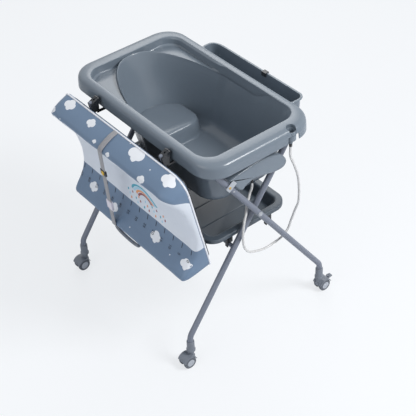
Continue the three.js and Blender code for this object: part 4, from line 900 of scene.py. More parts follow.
class TABLE_OT_hose(bpy.types.Operator):
    """Make the clear drain hose"""
    bl_idname = "changing_table.hose"
    bl_label = "Drain Hose"

    def execute(self, context):
        path = centripetal(hose_route, 8)
        along = length_along(path)
        around = np.linspace(0, math.tau * hose_radius, 20, endpoint=False)
        uv = np.stack(np.broadcast_arrays(around[None], along[:, None]), -1) * MM
        hose = piece("drain_hose_tube", [swept(path, hose_radius, 20)], hose_vinyl(), "drain_hose",
                     crease=60, uv=uv)
        hose.parent = None
        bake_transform(hose)
        return {"FINISHED"}


class TABLE_OT_tub(bpy.types.Operator):
    """Make the bathtub with its seat, plug, elbow and hose holder"""
    bl_idname = "changing_table.tub"
    bl_label = "Bathtub"

    def execute(self, context):
        self.moulding()
        piece("tub_seat", [skin(eased(self.seat_rings(), 4))], tub_plastic(), beside="tub_shell")
        ribs = []
        for _, side in ends:
            left, right = side * tub_rib_x - 20, side * tub_rib_x + 20
            ribs.append(rounded_box((left, rail_y - 6, rail_height + tube_radius + 0.3),
                                    (right, rail_y + 6, rim_top - 4), 1))
        piece("tub_ribs", ribs, tub_plastic(), beside="tub_shell")
        self.drain()
        self.holder()
        return {"FINISHED"}

    def moulding(self):
        """The tub's wall, cut open over the hose holder, with a round sleeve down the cut."""
        shell = piece("tub_moulding", [skin(tub_rings())], tub_plastic(), "tub_shell", crease=tub_crease)
        notch_half, cut_foot = 25, 700
        foot_notch = rounded_box((rim_half_length - rim_corner / 2, holder_y - notch_half, cut_foot),
                                 (2 * rim_half_length, holder_y + notch_half, rim_top - skirt_depth + 25), 4)
        scoop = turned([(holder_radius + 1, cut_foot), (holder_radius + 1, rim_top - 9),
                        (holder_radius + 1, rim_top + 20)], (holder_x, holder_y, 0))
        cutting(shell, [foot_notch])
        cutting(shell, [scoop])
        angle = np.linspace(0, math.tau, 64, endpoint=False)
        band = rim_half_length - inner_half_length
        across = np.clip((rim_half_length - holder_x - (holder_radius + 1) * np.cos(angle)) / band, 0.02, 1)
        fall = np.interp(across, *np.array(rim_shares).T)
        edge = rim_top - skirt_depth * fall - 0.6
        low = 0 * angle + sleeve_foot
        inner, outer = holder_radius + 0.3, holder_radius + 1.6
        sleeve = []
        for radius, height in ((inner, low), (outer, low), (outer, edge), (inner, edge), (inner, low)):
            x, y = holder_x + radius * np.cos(angle), holder_y + radius * np.sin(angle)
            sleeve.append(np.stack([x, y, height], -1))
        piece("tub_hose_sleeve", [skin(sleeve, caps=False)], tub_plastic(), beside="tub_shell")

    def drain(self):
        """The drain's ring and its stopper, and the elbow under the tub: a tube along a bent path."""
        ring = [turned([(0, 0.3), (23, 0.3), (23, 1.2), (21, 2), (18.5, 1.6), (18, 0.5), (0, 0.5)],
                        (drain_x, 0, floor_height))]
        piece("drain_ring", ring, zinc(), beside="tub_shell", crease=50)
        plug = turned([(0, -3), (12.7, -3), (12.7, 0.4), (16.6, 0.6), (17, 1.4), (16.4, 2.7), (14.5, 3.2),
                       (6, 3.4), (0, 3.4)], (drain_x, 0, floor_height))
        grip = rounded_box((drain_x - 10, -2.5, floor_height + 2),
                           (drain_x + 10, 2.5, floor_height + 13), 2.4)
        piece("drain_stopper", [plug, grip], black_nylon(), "drain_plug")

        face = node_box("drain_elbow")[0][0]
        bend = bent([(face, elbow_y, elbow_height), (elbow_x, elbow_y, elbow_height),
                     (elbow_x, elbow_y, elbow_height - elbow_drop)], elbow_bend, step=9)
        flange = turned([(0, 0), (9, 0), (9, 1.6), (8.4, 2), (5.5, 2.4), (0, 2.4)],
                        (face, elbow_y, elbow_height), (1, 0, 0))
        collar = turned([(4, 0), (6, 0), (6.2, 1.5), (6, 3), (4, 3)],
                        (elbow_x, elbow_y, elbow_height - elbow_drop + 1))
        piece("drain_bend", [swept(bend, elbow_radius, 28), flange, collar], black_nylon(), "drain_elbow")

    def holder(self):
        """The hose's cup on its arm, and the connector in the hose's end, both turned profiles."""
        cup_bottom = holder_top - cup_depth
        neck_bottom = cup_bottom - neck_length
        cup = turned([
            (7.5, neck_bottom), (7.5, cup_bottom - 13), (9, cup_bottom - 9), (15.8, cup_bottom - 1),
            (holder_radius, cup_bottom + 3), (holder_radius, holder_top - 1.2), (16.2, holder_top),
            (14.8, holder_top), (14, holder_top - 1.2), (14, cup_bottom + 3), (12.6, cup_bottom),
            (6.6, cup_bottom - 9), (6, cup_bottom - 12), (6, neck_bottom), (7.5, neck_bottom)],
            (holder_x, holder_y, 0), caps=False)
        arm_start = node_box("hose_holder")[0][0]
        arm = rounded_box((arm_start, holder_y - 8, 842), (holder_x - 14, holder_y + 8, 850), 1.6)
        piece("hose_cup", [cup, arm], tub_plastic(), "hose_holder")
        connector = turned([
            (0, -16), (4.9, -16), (5.7, -15.3), (6, -14), (6, -9.5), (5.4, -9), (5.4, -7), (6, -6.5),
            (6, -0.6), (5.7, -0.3), (5.4, 3), (5, 5.5), (0, 6)], (holder_x, holder_y, neck_bottom))
        piece("hose_end", [connector], black_nylon(), "hose_connector")

    def seat_rings(self):
        """The raised seat: a front with round corners, run back into the head wall at each height."""
        angle = np.linspace(0, math.tau, 120, endpoint=False)
        around = np.stack([seat_centre + np.cos(angle), np.sin(angle)], -1)
        rays = Rays(around, seat_centre, seat_centre)
        depths = [row[0] for row in bowl_shares]
        rings = []
        for flare, rise in (
                (12, 0), (8, 0.03), (5.5, 0.08), (3.5, 0.16), (1.5, 0.35), (-0.5, 0.55), (-3, 0.74),
                (-7, 0.89), (-13, 0.965), (-22, 0.995), (-34, 1), (-50, 0.99)):
            height = floor_height - 0.4 + seat_height * rise
            depth = (crest_high - height) / (crest_high - floor_height)
            row = [depth, *[np.interp(depth, depths, [row[k] for row in bowl_shares]) for k in (1, 2, 3)]]
            sunk = max(0, -flare - 10)
            front = np.array([rim_half_length, seat_front, seat_half_width, 1, 1, seat_corner_run,
                              seat_corner_side], float) + flare * np.array([0, 1, 1, 0, 0, 1, 1])
            wall_plan, point = bowl_plan(row, 1.5 - sunk)
            x, y = rays.leaving((front, 2), (wall_plan, point))
            rings.append(np.stack([x, y, height + 0 * x], -1))
        return rings


def plan_ring(plan, inset, height):
    """A plan's outline, drawn in by an inset, as a ring at one height."""
    outline = plan_outline(np.asarray(plan, float) - inset, 14, 30)
    return np.concatenate([outline, np.full((len(outline), 1), float(height))], axis=1)


class TABLE_OT_trough(bpy.types.Operator):
    """Make the toiletries trough and its clip"""
    bl_idname = "changing_table.trough"
    bl_label = "Toiletries Trough"

    def execute(self, context):
        top_plan = (248, 262, trough_half_width, 54, 35, 32, 32)
        top, bottom, wall, lip, taper = trough_top, trough_top - trough_depth, moulded_wall, 6, 6
        rings = [plan_ring(top_plan, inset, height) for inset, height in (
            (lip + taper + wall + 5, bottom), (lip + taper + wall, bottom + 0.6), (lip + taper, bottom + 4),
            (lip, top - 5.5), (1.2, top - 5), (0.2, top - 4.2), (0, top - 3), (0.5, top - 0.8), (1.6, top),
            (lip + wall / 2, top), (lip + wall - 0.2, top - 0.6), (lip + wall + 0.2, top - 2),
            (lip + taper + wall, bottom + 9), (lip + taper + 2 * wall, bottom + 4.2),
            (lip + taper + 2 * wall + 6, bottom + wall))]
        rings = np.array(rings) + (0, rim_half_width + trough_gap + trough_half_width, 0)
        hooks = []
        for _, side in ends:
            left, right = side * hook_x - 20, side * hook_x + 20
            hooks.append(rounded_box((left, hook_y, hook_z), (right, 248, hook_z + hook_thickness), 1))
            hooks.append(rounded_box((left, hook_y, hook_z), (right, hook_y + hook_thickness, 850), 1))
        piece("trough_moulding", [skin(eased(rings, 3)), *hooks], tub_plastic(), "toiletries_trough")
        refined("trough_clip", black_nylon())
        return {"FINISHED"}


class TABLE_OT_tray(bpy.types.Operator):
    """Make the storage tray and its clips"""
    bl_idname = "changing_table.tray"
    bl_label = "Storage Tray"

    def execute(self, context):
        low, high = node_box("storage_tray")
        plan = even_plan(high[0], high[1], tray_corner)
        bottom, top, wall = low[2], high[2], moulded_wall
        rings = [plan_ring(plan, inset, height) for inset, height in (
            (51, bottom), (46, bottom + 1.2), (42.6, bottom + 7), (30, top - 5.2), (24, top - 3),
            (5.2, top - 2.6), (2.6, top - 5.2), (2.6, top - 15.5), (2, top - 16), (0.6, top - 16),
            (0, top - 15.4), (0, top - 4), (0.8, top - 1.2), (3, top), (22, top), (26, top - 0.8),
            (29.5, top - 3.5), (31.5, top - 7), (44, bottom + 12), (47.5, bottom + 5.2),
            (53.5, bottom + wall))]
        piece("tray_moulding", [skin(eased(rings, 3))], tray_plastic(), "storage_tray")
        ribs = []
        for k in (-2, -1, 0, 1, 2):
            x = k * tray_rib_spacing
            ribs.append(rounded_box((x - 3, -tray_rib_half_length, bottom + wall - 1),
                                    (x + 3, tray_rib_half_length, bottom + wall + 1.2), 1))
        piece("tray_floor_ribs", ribs, tray_plastic(), beside="storage_tray")
        for row, _ in rows:
            for end, _ in ends:
                refined(f"tray_clip_{row}_{end}", black_nylon(), 0.8)
        return {"FINISHED"}


def on_leg(x, height, front):
    """A point on a leg's line: the outer legs come forward as they rise, and the inner legs go back."""
    return np.array([x, front * (height - crossing_height) * math.tan(lean), height])


# Outline of a side cover, as shares of its height and of its length at that height
cover_top = ((0, 0.76), (0.2, 0.88), (0.4, 0.97), (0.6, 1), (0.81, 0.85), (0.945, 0.58), (1, 0.24))
cover_bottom = ((0.94, 0.03), (0.78, 0), (0.64, 0.07), (0.47, 0.18), (0.31, 0.22), (0.17, 0.13), (0.03, 0))


class TABLE_OT_legs(bpy.types.Operator):
    """Make the folding frame with its covers and bolts"""
    bl_idname = "changing_table.legs"
    bl_label = "Folding Frame"

    def execute(self, context):
        x = outer_leg_x
        corners = [
            (x, castor_y, foot_end), (x, castor_y, foot_bend_height), on_leg(x, rail_height, -1),
            on_leg(-x, rail_height, -1), (-x, castor_y, foot_bend_height), (-x, castor_y, foot_end)]
        tube = swept(bent(corners, bend_radius), tube_radius, 36)
        piece("outer_frame_coated", [tube], tube_coat(), "outer_frame_tube")
        for bar in ("outer_cross_bar", "inner_cross_bar"):
            low, high = node_box(bar)
            middle = (low + high) / 2
            line = np.array([(low[0], *middle[1:]), (high[0], *middle[1:])])
            piece(bar + "_coated", [swept(line, cross_bar_radius, 32)], tube_coat(), bar)
        for end, side in ends:
            x = side * inner_leg_x
            top = on_leg(x, inner_leg_top, 1)
            path = bent([(x, -castor_y, foot_end), (x, -castor_y, foot_bend_height), top], bend_radius)
            piece(f"inner_leg_{end}_coated", [swept(path, tube_radius, 36)], tube_coat(), f"inner_leg_{end}")
            up = unit(top - on_leg(x, crossing_height, 1))
            cap = turned([(0, 0), (11, 0), (11.3, 0.8), (11, 2.2), (9.6, 3.4), (6, 3.9), (0, 4)], top, up)
            piece(f"inner_leg_plug_{end}", [cap], black_nylon(), f"inner_leg_cap_{end}")
        self.bolts()
        self.covers()
        return {"FINISHED"}

    def bolts(self):
        """The pivots' rivets, the covers' studs and a small button on each outer leg."""
        for end, side in ends:
            low, high = node_box(f"pivot_bolt_{end}")
            outer, inner = (high[0], low[0]) if side > 0 else (low[0], high[0])
            shank = turned([(0, 0), (4, 0), (4, abs(outer - inner))],
                           (inner, 0, crossing_height), (side, 0, 0), 24)
            heads = []
            for place, way in ((outer, side), (inner, -side)):
                heads.append(turned([(9, -4.6), (9.2, -4.2), (9, -3.8), (8, -3.6), (8, -2.6), (7.4, -1.2),
                                     (5.4, -0.25), (0, 0)], (place, 0, crossing_height), (way, 0, 0), 40))
            piece(f"pivot_rivet_{end}", [shank, *heads], zinc(), f"pivot_bolt_{end}")
            low, high = node_box(f"cover_rivet_{end}")
            middle = (low + high) / 2
            head = turned([(0, -14), (2.4, -14), (2.4, -2.6), (5, -2.5), (5, -1.8), (4.2, -0.7),
                           (2.2, -0.1), (0, 0)],
                          (high[0] if side > 0 else low[0], middle[1], middle[2]), (side, 0, 0), 32)
            piece(f"cover_stud_{end}", [head], brass(), f"cover_rivet_{end}")
            place = (side * (outer_leg_x + tube_radius + 0.4), button_y, button_height)
            button = turned([(0, -2), (3.6, -2), (3.6, 0), (2.8, 1.1), (0, 1.5)], place, (side, 0, 0), 28)
            piece(f"leg_button_{end}", [button], zinc(), beside="outer_frame_tube")

    def covers(self):
        """The side covers: one smooth outline in rings from the back face to the rounded front."""
        low, high = node_box("side_cover_near")
        shares = np.array([*cover_top, *cover_bottom])
        height = low[2] + shares[:, 1] * (high[2] - low[2])
        tail = tube_radius / math.cos(lean) + cover_gap - (height - crossing_height) * math.tan(lean)
        outline = np.stack([tail + (cover_reach - tail) * shares[:, 0], height], -1)
        smooth = centripetal(np.concatenate([np.c_[outline, 0 * height], [[*outline[0], 0]]]), 8)[:-1, :2]
        step = unit(np.roll(smooth, -1, axis=0) - np.roll(smooth, 1, axis=0))
        inward = np.stack([step[:, 1], -step[:, 0]], -1)
        for end, side in ends:
            back, face = low[0], high[0]
            rings = []
            for inset, x in (
                    (6, face - 3), (2.6, face - 6), (2.6, back), (1.2, back - 0.1), (0, back + 0.8),
                    (0, face - 7), (0.5, face - 4), (2, face - 1.6), (4.6, face - 0.3), (6.5, face)):
                flat = smooth + inward * inset
                rings.append(np.c_[np.full(len(flat), side * x), flat])
            piece(f"side_cover_{end}_moulded", [skin(rings)], tub_plastic(), f"side_cover_{end}")
            refined(f"cover_tab_{end}", zinc(), 0.5)


class TABLE_OT_castors(bpy.types.Operator):
    """Make the four twin-wheel castors with their sockets and brake pedals"""
    bl_idname = "changing_table.castors"
    bl_label = "Castors"

    def execute(self, context):
        for row, way in rows:
            for end, side in ends:
                name = f"{row}_{end}"
                x = side * (outer_leg_x if row == "rear" else inner_leg_x)
                self.socket(name, x, way * castor_y)
                self.wheels(name, x, way * (castor_y + castor_trail))
                refined(f"castor_hood_{name}", castor_nylon(), 0.7, crease=34)
        for end, _ in ends:
            refined(f"brake_pedal_{end}", castor_nylon(), 0.8)
        return {"FINISHED"}

    def socket(self, name, x, y):
        """The collar round a leg's foot, with its flange over the hood."""
        collar = turned([
            (4.3, 68), (15.5, 68), (16.8, 69), (17, 70.5), (17, 75.5), (16.6, 77), (15, 78.6), (14.5, 80.5),
            (14.5, 112.5), (13.9, 115), (12.6, 116), (11.3, 116), (11.3, 82), (4.3, 82), (4.3, 68)],
            (x, y, 0), caps=False)
        piece(f"castor_socket_{name}_moulded", [collar], castor_nylon(), f"castor_socket_{name}")

    def wheels(self, name, x, y):
        """Two treads on one axle, and the hubs pressed into them."""
        centre = (x, y, wheel_radius)
        inner, outer = wheel_inner, wheel_outer
        tread, hubs = [], []
        for side in (1, -1):
            tread.append(turned([
                (4, inner), (22.5, inner), (24.2, inner + 0.4), (wheel_radius, inner + 1.6),
                (wheel_radius, outer - 4.4), (24.6, outer - 2.6), (23, outer - 1.2), (19.5, outer - 0.6),
                (18.6, outer - 1.4), (15, outer - 1.2), (0, outer - 1.2)], centre, (side, 0, 0), 56))
            hubs.append(turned([
                (15.4, outer - 1.4), (15.4, outer - 0.5), (14.6, outer), (6, outer + 0.3),
                (5.2, outer - 0.4), (4, outer - 0.5), (3.4, outer + 0.3), (0, outer + 0.4)],
                centre, (side, 0, 0), 48))
        axle = turned([(4, -inner), (4, inner)], centre, (1, 0, 0), 24)
        piece(f"castor_wheels_{name}_moulded", [*tread, axle], castor_tread(), f"castor_wheels_{name}")
        piece(f"castor_hubs_{name}", hubs, hub_plastic(), beside=f"castor_wheels_{name}")


# Section of the cushion, as shares of the mat's height and of the cushion's depth
cushion_section = (
    (0.006, 0), (0, 0.05), (0.008, 0.24), (0.022, 0.44), (0.039, 0.6), (0.052, 0.69), (0.075, 0.745),
    (0.104, 0.735), (0.14, 0.66), (0.195, 0.53), (0.27, 0.4), (0.36, 0.32), (0.48, 0.26), (0.6, 0.25),
    (0.705, 0.31), (0.775, 0.4), (0.84, 0.55), (0.895, 0.75), (0.935, 0.92), (0.962, 0.995), (0.98, 1),
    (0.994, 0.93), (0.997, 0.73), (0.9985, 0.4), (1, 0.1), (0.99, 0), (0.75, 0), (0.5, 0), (0.25, 0),
    (0.006, 0),
)
section_curve = eased(np.array(cushion_section) * (mat_height, cushion_depth), 12)
section_girth = length_along(section_curve)


def arc_rise(distance, radius):
    """How much of an arc's rise is reached at a distance from its start."""
    return np.sqrt(1 - np.clip(1 - distance / radius, 0, 1) ** 2)


def on_mat(x, out, down):
    """A place on the mat, turned with its lean: out from the hinge and down from it."""
    y, z = -out, -down
    return np.stack([
        x + 0 * y, hinge_y + y * math.cos(mat_lean) - z * math.sin(mat_lean),
        hinge_z + y * math.sin(mat_lean) + z * math.cos(mat_lean)], -1)


def creases(x, girth):
    """Soft folds of the cover in millimetres: sums of sines that bend with the girth."""
    valley = np.exp(-((girth - 290) / 130) ** 2)
    upper = np.exp(-((girth - 60) / 70) ** 2)
    fold = np.sin(x / 23 + 1.4 * np.sin(girth / 41) + 0.8 * np.sin(x / 57))
    drag = np.sin((girth + 0.35 * x) / 19 + 1.2 * np.sin(x / 63))
    dimple = np.sin(x / 11 + 2 * np.sin(girth / 29)) * np.sin(girth / 17 + np.sin(x / 37))
    return 0.9 * valley * fold + 0.8 * (0.4 + valley) * drag * 0.6 + 0.35 * dimple + 0.6 * upper * fold


def cushion_places(x, girth, lift=0.0):
    """The cover at a distance along the mat and a distance round its section.
    The section is carried along the mat, narrows to rounded corners and closes at each end."""
    x, girth = np.broadcast_arrays(np.asarray(x, float), np.asarray(girth, float))
    down = np.interp(girth, section_girth, section_curve[:, 0])
    out = np.interp(girth, section_girth, section_curve[:, 1])
    share_down = down / mat_height
    from_end = np.maximum(mat_half_length - np.abs(x), 0)
    corner = np.where(x > 0, mat_corner_near, mat_corner_far)
    upper = corner * (1 - arc_rise(from_end, corner))
    lower = mat_corner_low * (1 - arc_rise(from_end, mat_corner_low))
    round_over = np.where(x > 0, end_round_near, end_round_far)
    round_over = round_over + (end_round_low - round_over) * share_down
    rise = arc_rise(from_end, round_over)
    at_end = end_depth_share * cushion_depth * np.clip(out / 6, 0, 1)
    thick = at_end + (out - at_end) * rise
    front = np.clip(out / 12, 0, 1) * arc_rise(from_end, 40.0)
    thick = thick + creases(x, girth) * front
    closing = arc_rise(from_end, end_closing)
    middle = end_depth_share / 2 * cushion_depth
    thick = middle + (thick - middle) * closing
    place_down = mat_top_drop + upper + (mat_height - upper - lower) * share_down
    places = on_mat(x, mat_back + thick, place_down)
    if not lift:
        return places
    step = 0.5
    across = cushion_places(x + step, girth) - cushion_places(x - step, girth)
    along = cushion_places(x, girth + step) - cushion_places(x, girth - step)
    return places + unit(np.cross(along, across)) * lift


def film(x, girth, centre, lift=film_lift):
    """A thin closed film on the cover inside an outline, as rings that shrink to its centre."""
    share = np.array([0.02, 0.35, 0.7, 1, 1, 0.7, 0.35, 0.02])[:, None]
    level = np.array([-1, -1, -1, -1, 1, 1, 1, 1])[:, None] * lift
    ring_x = centre[0] + (np.asarray(x) - centre[0]) * share
    ring_girth = centre[1] + (np.asarray(girth) - centre[1]) * share
    return skin(lifted(ring_x, ring_girth, level))


def ribbon(x, girth, lift=film_lift):
    """A thin closed film between two lines, each given as a row of places."""
    level = np.array([-1, -1, 1, 1])[:, None] * lift
    return skin(lifted(x[[0, 1, 1, 0]], girth[[0, 1, 1, 0]], level).transpose(1, 0, 2))


def lifted(x, girth, level):
    """Places over or under the cover by a signed distance for each."""
    above = cushion_places(x, girth, 1.0)
    return cushion_places(x, girth) * (1 - level[..., None]) + above * level[..., None]


def numeral(words, x, girth, size=19, lift=1.1):
    """Figures from the built-in font, bent round the cover as thin films."""
    curve = bpy.data.curves.new("numeral", "FONT")
    curve.body = words
    curve.size = size
    curve.align_x = "CENTER"
    curve.align_y = "CENTER"
    curve.resolution_u = 2
    shape = bpy.data.objects.new("numeral", curve)
    mesh = bpy.data.meshes.new_from_object(shape)
    flat = np.empty(len(mesh.vertices) * 3)
    mesh.vertices.foreach_get("co", flat)
    flat = flat.reshape(-1, 3)
    places = cushion_places(x + flat[:, 1], girth + flat[:, 0], lift)
    faces = [list(face.vertices) for face in mesh.polygons]
    bpy.data.objects.remove(shape)
    return places, faces


def cover_material():
    """Coated cloth in two colours, by the distance round the cushion, with a fine grain and soft sheen."""
    made = bpy.data.materials.new("coated polyester cloth")
    tree = empty_tree(made)
    place = add_node(tree, "ShaderNodeUVMap", uv_map="UVMap").outputs["UV"]
    split = add_node(tree, "ShaderNodeSeparateXYZ", {"Vector": place})
    after = add_node(tree, "ShaderNodeMath", {0: split.outputs["Y"], 1: white_from * MM},
                     operation="GREATER_THAN")
    before = add_node(tree, "ShaderNodeMath", {0: split.outputs["Y"], 1: white_to * MM},
                      operation="LESS_THAN")
    white = add_node(tree, "ShaderNodeMath", {0: after.outputs["Value"], 1: before.outputs["Value"]},
                     operation="MULTIPLY")
    broad = add_node(tree, "ShaderNodeTexNoise", {"Vector": place, "Scale": 1 / (110 * MM), "Detail": 3})
    blue = colour_of("mat_colour")
    pale = linear("#dde3ec")
    blues = add_node(tree, "ShaderNodeMix", {
        "Factor": broad.outputs["Fac"], "A": toned(blue, -0.07), "B": toned(blue, 0.07)}, data_type="RGBA")
    whites = add_node(tree, "ShaderNodeMix", {
        "Factor": broad.outputs["Fac"], "A": toned(pale, -0.03), "B": toned(pale, 0.03)}, data_type="RGBA")
    printed = add_node(tree, "ShaderNodeMix", {
        "Factor": white.outputs["Value"], "A": blues.outputs["Result"], "B": whites.outputs["Result"]},
        data_type="RGBA")
    grain = add_node(tree, "ShaderNodeTexVoronoi", {"Vector": place, "Scale": 1 / (1.5 * MM)})
    bump = add_node(tree, "ShaderNodeBump", {
        "Height": grain.outputs["Distance"], "Strength": 0.35, "Distance": 0.12 * MM})
    shade = add_node(tree, "ShaderNodeBsdfPrincipled", {
        "Base Color": printed.outputs["Result"], "Roughness": 0.45, "Normal": bump.outputs["Normal"],
        "Sheen Weight": 0.12, "Sheen Roughness": 0.4})
    add_node(tree, "ShaderNodeOutputMaterial", {"Surface": shade.outputs["BSDF"]})
    return made


# Clouds as distance along the mat, distance round it and width, and small dots
clouds = ((-282, 34, 56), (-141, 40, 44), (-72, 84, 19), (115, 28, 76), (295, 33, 62), (202, 88, 36),
          (-246, 472, 50), (-106, 484, 46), (139, 468, 56), (316, 476, 52), (-334, 86, 30), (14, 92, 22))
dots = ((-189, 10), (208, 43), (9, 503), (235, 486), (-340, 49), (-278, 97), (-180, 440), (60, 12))
# A cloud's lobes: place and size, as shares of its width
lobes = ((-0.24, 0.02, 0.24), (0.02, -0.12, 0.3), (0.26, 0, 0.24), (0.05, 0.16, 0.22), (0.1, 0.3, 0.1))
# The rainbow's bands from the outermost inwards, each with its finish's name and colour
rainbow = (("teal print", "#35a6bd"), ("light blue print", "#a9d3e8"), ("orange print", "#e39a62"),
           ("dark red print", "#8e3b3f"))


class TABLE_OT_mat(bpy.types.Operator):
    """Make the padded mat with its prints, board, rails and hinge arms"""
    bl_idname = "changing_table.mat"
    bl_label = "Changing Mat"

    def execute(self, context):
        girth = section_girth[:-1:2]
        closing = end_closing * (1 - np.cos(np.linspace(0, math.pi / 2, 9)))
        from_end = np.concatenate([closing, np.linspace(16, 66, 14)])
        middle = np.linspace(-mat_half_length + 70, mat_half_length - 70, 120)
        x = np.concatenate([-mat_half_length + from_end, middle, mat_half_length - from_end[::-1]])
        grid_x, grid_girth = np.meshgrid(x, girth, indexing="ij")
        uv = np.stack([grid_x, grid_girth], -1) * MM
        points, faces = skin(cushion_places(grid_x, grid_girth), caps=False)
        cushion = piece("mat_cover", [(points, faces)], cover_material(), "mat_cushion", crease=70, uv=uv)

        self.prints()
        piping = swept(self.outline(), piping_radius, 16)
        piece("mat_piping", [piping], cover_cloth("coated cloth piping", "#eceef4"),
              beside="mat_cushion", crease=70)
        refined("mat_board", black_nylon(), 0.8)
        for end, _ in ends:
            low, high = node_box(f"mat_rail_{end}")
            centre_x = (low[0] + high[0]) / 2
            rail = [on_mat(centre_x, mat_rail_out, down) for down in (mat_rail_top, mat_rail_foot)]
            piece(f"mat_rail_{end}_drawn", [swept(rail, mat_rail_radius, 32)], tube_coat(),
                  f"mat_rail_{end}")
            refined(f"mat_arm_{end}", black_nylon(), 0.8)
            refined(f"mat_bracket_{end}", black_nylon(), 0.8)
        return {"FINISHED"}

    def prints(self):
        """Clouds, dots, a ruler and a rainbow over drops: thin films laid on the cover.
        A cloud's outline is the furthest that a ray from its centre gets inside any lobe's circle."""
        angle = np.linspace(0, math.tau, 48, endpoint=False)
        ray = np.stack([np.cos(angle), np.sin(angle)], -1)
        reach = np.full(len(angle), 0.05)
        for across, along, size in lobes:
            beside = ray @ (across, along)
            room = size ** 2 - (across ** 2 + along ** 2) + beside ** 2
            reach = np.maximum(reach, beside + np.sqrt(np.maximum(room, 0)))
        white, navy = cover_cloth("white print", "#eef1f6"), cover_cloth("dark print", "#232b3c")
        films = [film(x + reach * width * ray[:, 0], girth + reach * width * ray[:, 1], (x, girth))
                 for x, girth, width in clouds]
        films += [film(x + dot_radius * ray[:, 0], girth + dot_radius * ray[:, 1], (x, girth))
                  for x, girth in dots]
        piece("mat_clouds", films, white, beside="mat_cushion", crease=70)

        marks = []
        for k in range(tick_count):
            x = first_tick - k * tick_spacing
            side = np.array([-1, 1, 1, -1])
            tick = np.array([tick_from, tick_from, tick_to, tick_to])
            marks.append(film(x + side, tick, (x, (tick_from + tick_to) / 2), 0.8))
            marks.append(numeral(str(5 * k), x - 4, numeral_girth))
        piece("mat_ruler", marks, navy, beside="mat_cushion", crease=70)

        for k, (name, code) in enumerate(rainbow):
            turn = np.linspace(0.12 * math.pi, 0.88 * math.pi, 40)
            inner = 74 - band_pitch * k
            reaches = np.array([[inner + band_width], [inner]])
            strip = ribbon(band_x + reaches * np.cos(turn), band_foot - reaches * np.sin(turn))
            drops = []
            for j in range(5):
                x = band_x - 105 + 48 * j + 9 * k
                girth = band_foot - 8 + 15 * ((j + k) % 3)
                narrow = 1 - 0.5 * np.sin(angle)
                drops.append(film(x + 3.4 * narrow * np.cos(angle), girth - 6 * np.sin(angle), (x, girth)))
            piece("mat_" + name.replace(" ", "_"), [strip, *drops], cover_cloth(name, code),
                  beside="mat_cushion", crease=70)

    def outline(self):
        """The seam round the mat near its back: straight edges joined by the corners' arcs."""
        half, top, bottom = mat_half_length, mat_top_drop, mat_top_drop + mat_height
        quarter = np.linspace(0, math.pi / 2, 12)
        corners = []
        for turn, (x, z, radius) in enumerate((
                (half, top, mat_corner_near), (half, bottom, mat_corner_low),
                (-half, bottom, mat_corner_low), (-half, top, mat_corner_far))):
            angle = quarter + turn * math.pi / 2
            x = x - math.copysign(radius, x) + radius * np.sin(angle)
            z = z + (radius if z == top else -radius) - radius * np.cos(angle)
            corners.append(np.stack([x, z], -1))
        loop = np.concatenate([*corners, corners[0][:1]])
        return on_mat(loop[:, 0], mat_back + piping_out, loop[:, 1])


class TABLE_OT_strap(bpy.types.Operator):
    """Make the strap with its slider and buckle, and the grab handle"""
    bl_idname = "changing_table.strap"
    bl_label = "Strap and Handle"

    def execute(self, context):
        shares = np.array([
            (0, 0.04), (0.004, 0.24), (0.018, 0.445), (0.035, 0.61), (0.048, 0.702), (0.072, 0.758),
            (0.099, 0.766), (0.5, 0.887), (0.948, 1.008), (0.975, 1.015), (0.992, 0.99), (1.002, 0.92),
            (1.004, 0.76)])
        down, out = shares.T
        bolster_edge, foot_edge = 0.072, 0.975
        along = np.clip((down - bolster_edge) / (foot_edge - bolster_edge), 0, 1)
        x = strap_top_x + (strap_foot_x - strap_top_x) * along
        line = np.stack([x, mat_back + strap_gap + cushion_depth * out,
                         mat_top_drop + mat_height * down - strap_gap * (1 - 2 * down)], -1)
        line = eased(line, 8)
        step = unit(np.gradient(line, axis=0))
        outward = unit(np.stack([0 * step[:, 0], step[:, 2], -step[:, 1]], -1))
        section = np.array([(1, -0.6), (1, 0.6), (0.96, 1), (-0.96, 1), (-1, 0.6), (-1, -0.6), (-0.96, -1),
                            (0.96, -1)])
        wide, half_thick = section[:, :1] * strap_half_width, section[:, 1:]
        rings = line[:, None] + wide * (1, 0, 0) + half_thick * outward[:, None]
        places = on_mat(rings[..., 0], rings[..., 1], rings[..., 2])
        length = length_along(line)
        uv = np.stack(np.broadcast_arrays(wide[None, :, 0], length[:, None]), -1) * MM
        piece("strap_webbing", [skin(places)], webbing("grey webbing", "#9a9a9e"), "mat_strap",
              crease=60, uv=uv)
        refined("strap_slider", black_nylon(), 1.2)
        low, high = node_box("strap_slider")
        middle = (low + high) / 2
        mark = rounded_box((middle[0] - 6, low[1] - 0.9, middle[2] - 8),
                           (middle[0] + 6, low[1] + 3, middle[2] + 8), 1)
        piece("slider_mark", [mark], yellow_plastic(), beside="strap_slider")
        refined("strap_buckle", pale_plastic(), 2.2)

        angle = np.linspace(0, math.pi, 60)
        bulge = np.sin(angle) ** 0.5
        top = mat_top_drop + mat_height + handle_top
        path = on_mat(handle_x - np.cos(angle) * handle_half_width, handle_out + 0 * angle,
                      top + handle_hang * bulge)
        path = eased(path[::4], 6)
        piece("handle_webbing", [swept(path, handle_radius, 24)], castor_nylon(), "grab_handle", crease=60)
        return {"FINISHED"}


def colour_setting(name, description, code):
    """A colour in the panel, whose default is given as an sRGB hex value."""
    return bpy.props.FloatVectorProperty(
        name=name, description=description, subtype="COLOR", size=3, default=linear(code)[:3], min=0, max=1)


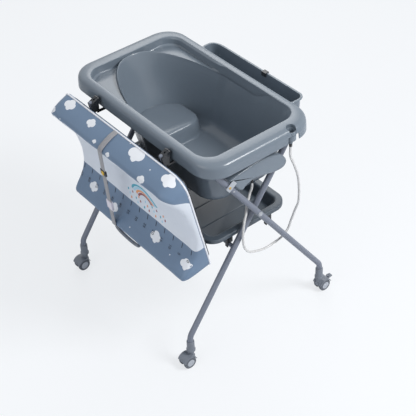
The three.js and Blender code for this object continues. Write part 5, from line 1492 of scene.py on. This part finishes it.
class ChangingTableSettings(bpy.types.PropertyGroup):
    """The table's colours and the stage's light"""
    tub_colour: colour_setting("Tub Colour", "Colour of the tub, trough and covers", "#727d88")
    tray_colour: colour_setting("Tray Colour", "Colour of the storage tray", "#4f5963")
    tube_colour: colour_setting("Tube Colour", "Colour of the powder coat on the frame", "#747a88")
    castor_colour: colour_setting("Castor Colour", "Colour of the castors and sockets", "#767c86")
    mat_colour: colour_setting("Mat Colour", "Blue of the mat's cover", "#6b819b")
    backdrop_colour: colour_setting("Backdrop Colour", "Colour behind the floor", "#fbfdff")
    floor_colour: colour_setting("Floor Colour", "Colour of the floor", "#f0f3f8")
    key_power: bpy.props.FloatProperty(
        name="Key Power", description="Power of the main lamp", default=110, min=0, unit="POWER")
    fill_power: bpy.props.FloatProperty(
        name="Fill Power", description="Power of each of the other lamps", default=26, min=0, unit="POWER")
    sky_strength: bpy.props.FloatProperty(
        name="Sky Strength", description="Strength of the even light all round", default=0.42, min=0)


class TABLE_PT_panel(bpy.types.Panel):
    """Lists the operators that make the changing table"""
    bl_idname = "TABLE_PT_panel"
    bl_label = "Changing Table"
    bl_space_type = "VIEW_3D"
    bl_region_type = "UI"
    bl_category = "Changing Table"

    def draw(self, context):
        settings = context.scene.changing_table
        for name in ChangingTableSettings.__annotations__:
            self.layout.prop(settings, name)
        for operator in operators:
            self.layout.operator(operator.bl_idname)


operators = (
    TABLE_OT_stage, TABLE_OT_hose, TABLE_OT_tub, TABLE_OT_trough, TABLE_OT_tray, TABLE_OT_legs,
    TABLE_OT_castors, TABLE_OT_mat, TABLE_OT_strap,
)


def register():
    for kind in (ChangingTableSettings, *operators, TABLE_PT_panel):
        bpy.utils.register_class(kind)
    bpy.types.Scene.changing_table = bpy.props.PointerProperty(type=ChangingTableSettings)


def unregister():
    del bpy.types.Scene.changing_table
    for kind in (TABLE_PT_panel, *reversed(operators), ChangingTableSettings):
        bpy.utils.unregister_class(kind)


def main():
    """Makes the stage and the table."""
    register()
    bpy.ops.changing_table.stage()
    bpy.ops.changing_table.hose()
    bpy.ops.changing_table.tub()
    bpy.ops.changing_table.trough()
    bpy.ops.changing_table.tray()
    bpy.ops.changing_table.legs()
    bpy.ops.changing_table.castors()
    bpy.ops.changing_table.mat()
    bpy.ops.changing_table.strap()


if __name__ == "__main__":
    main()
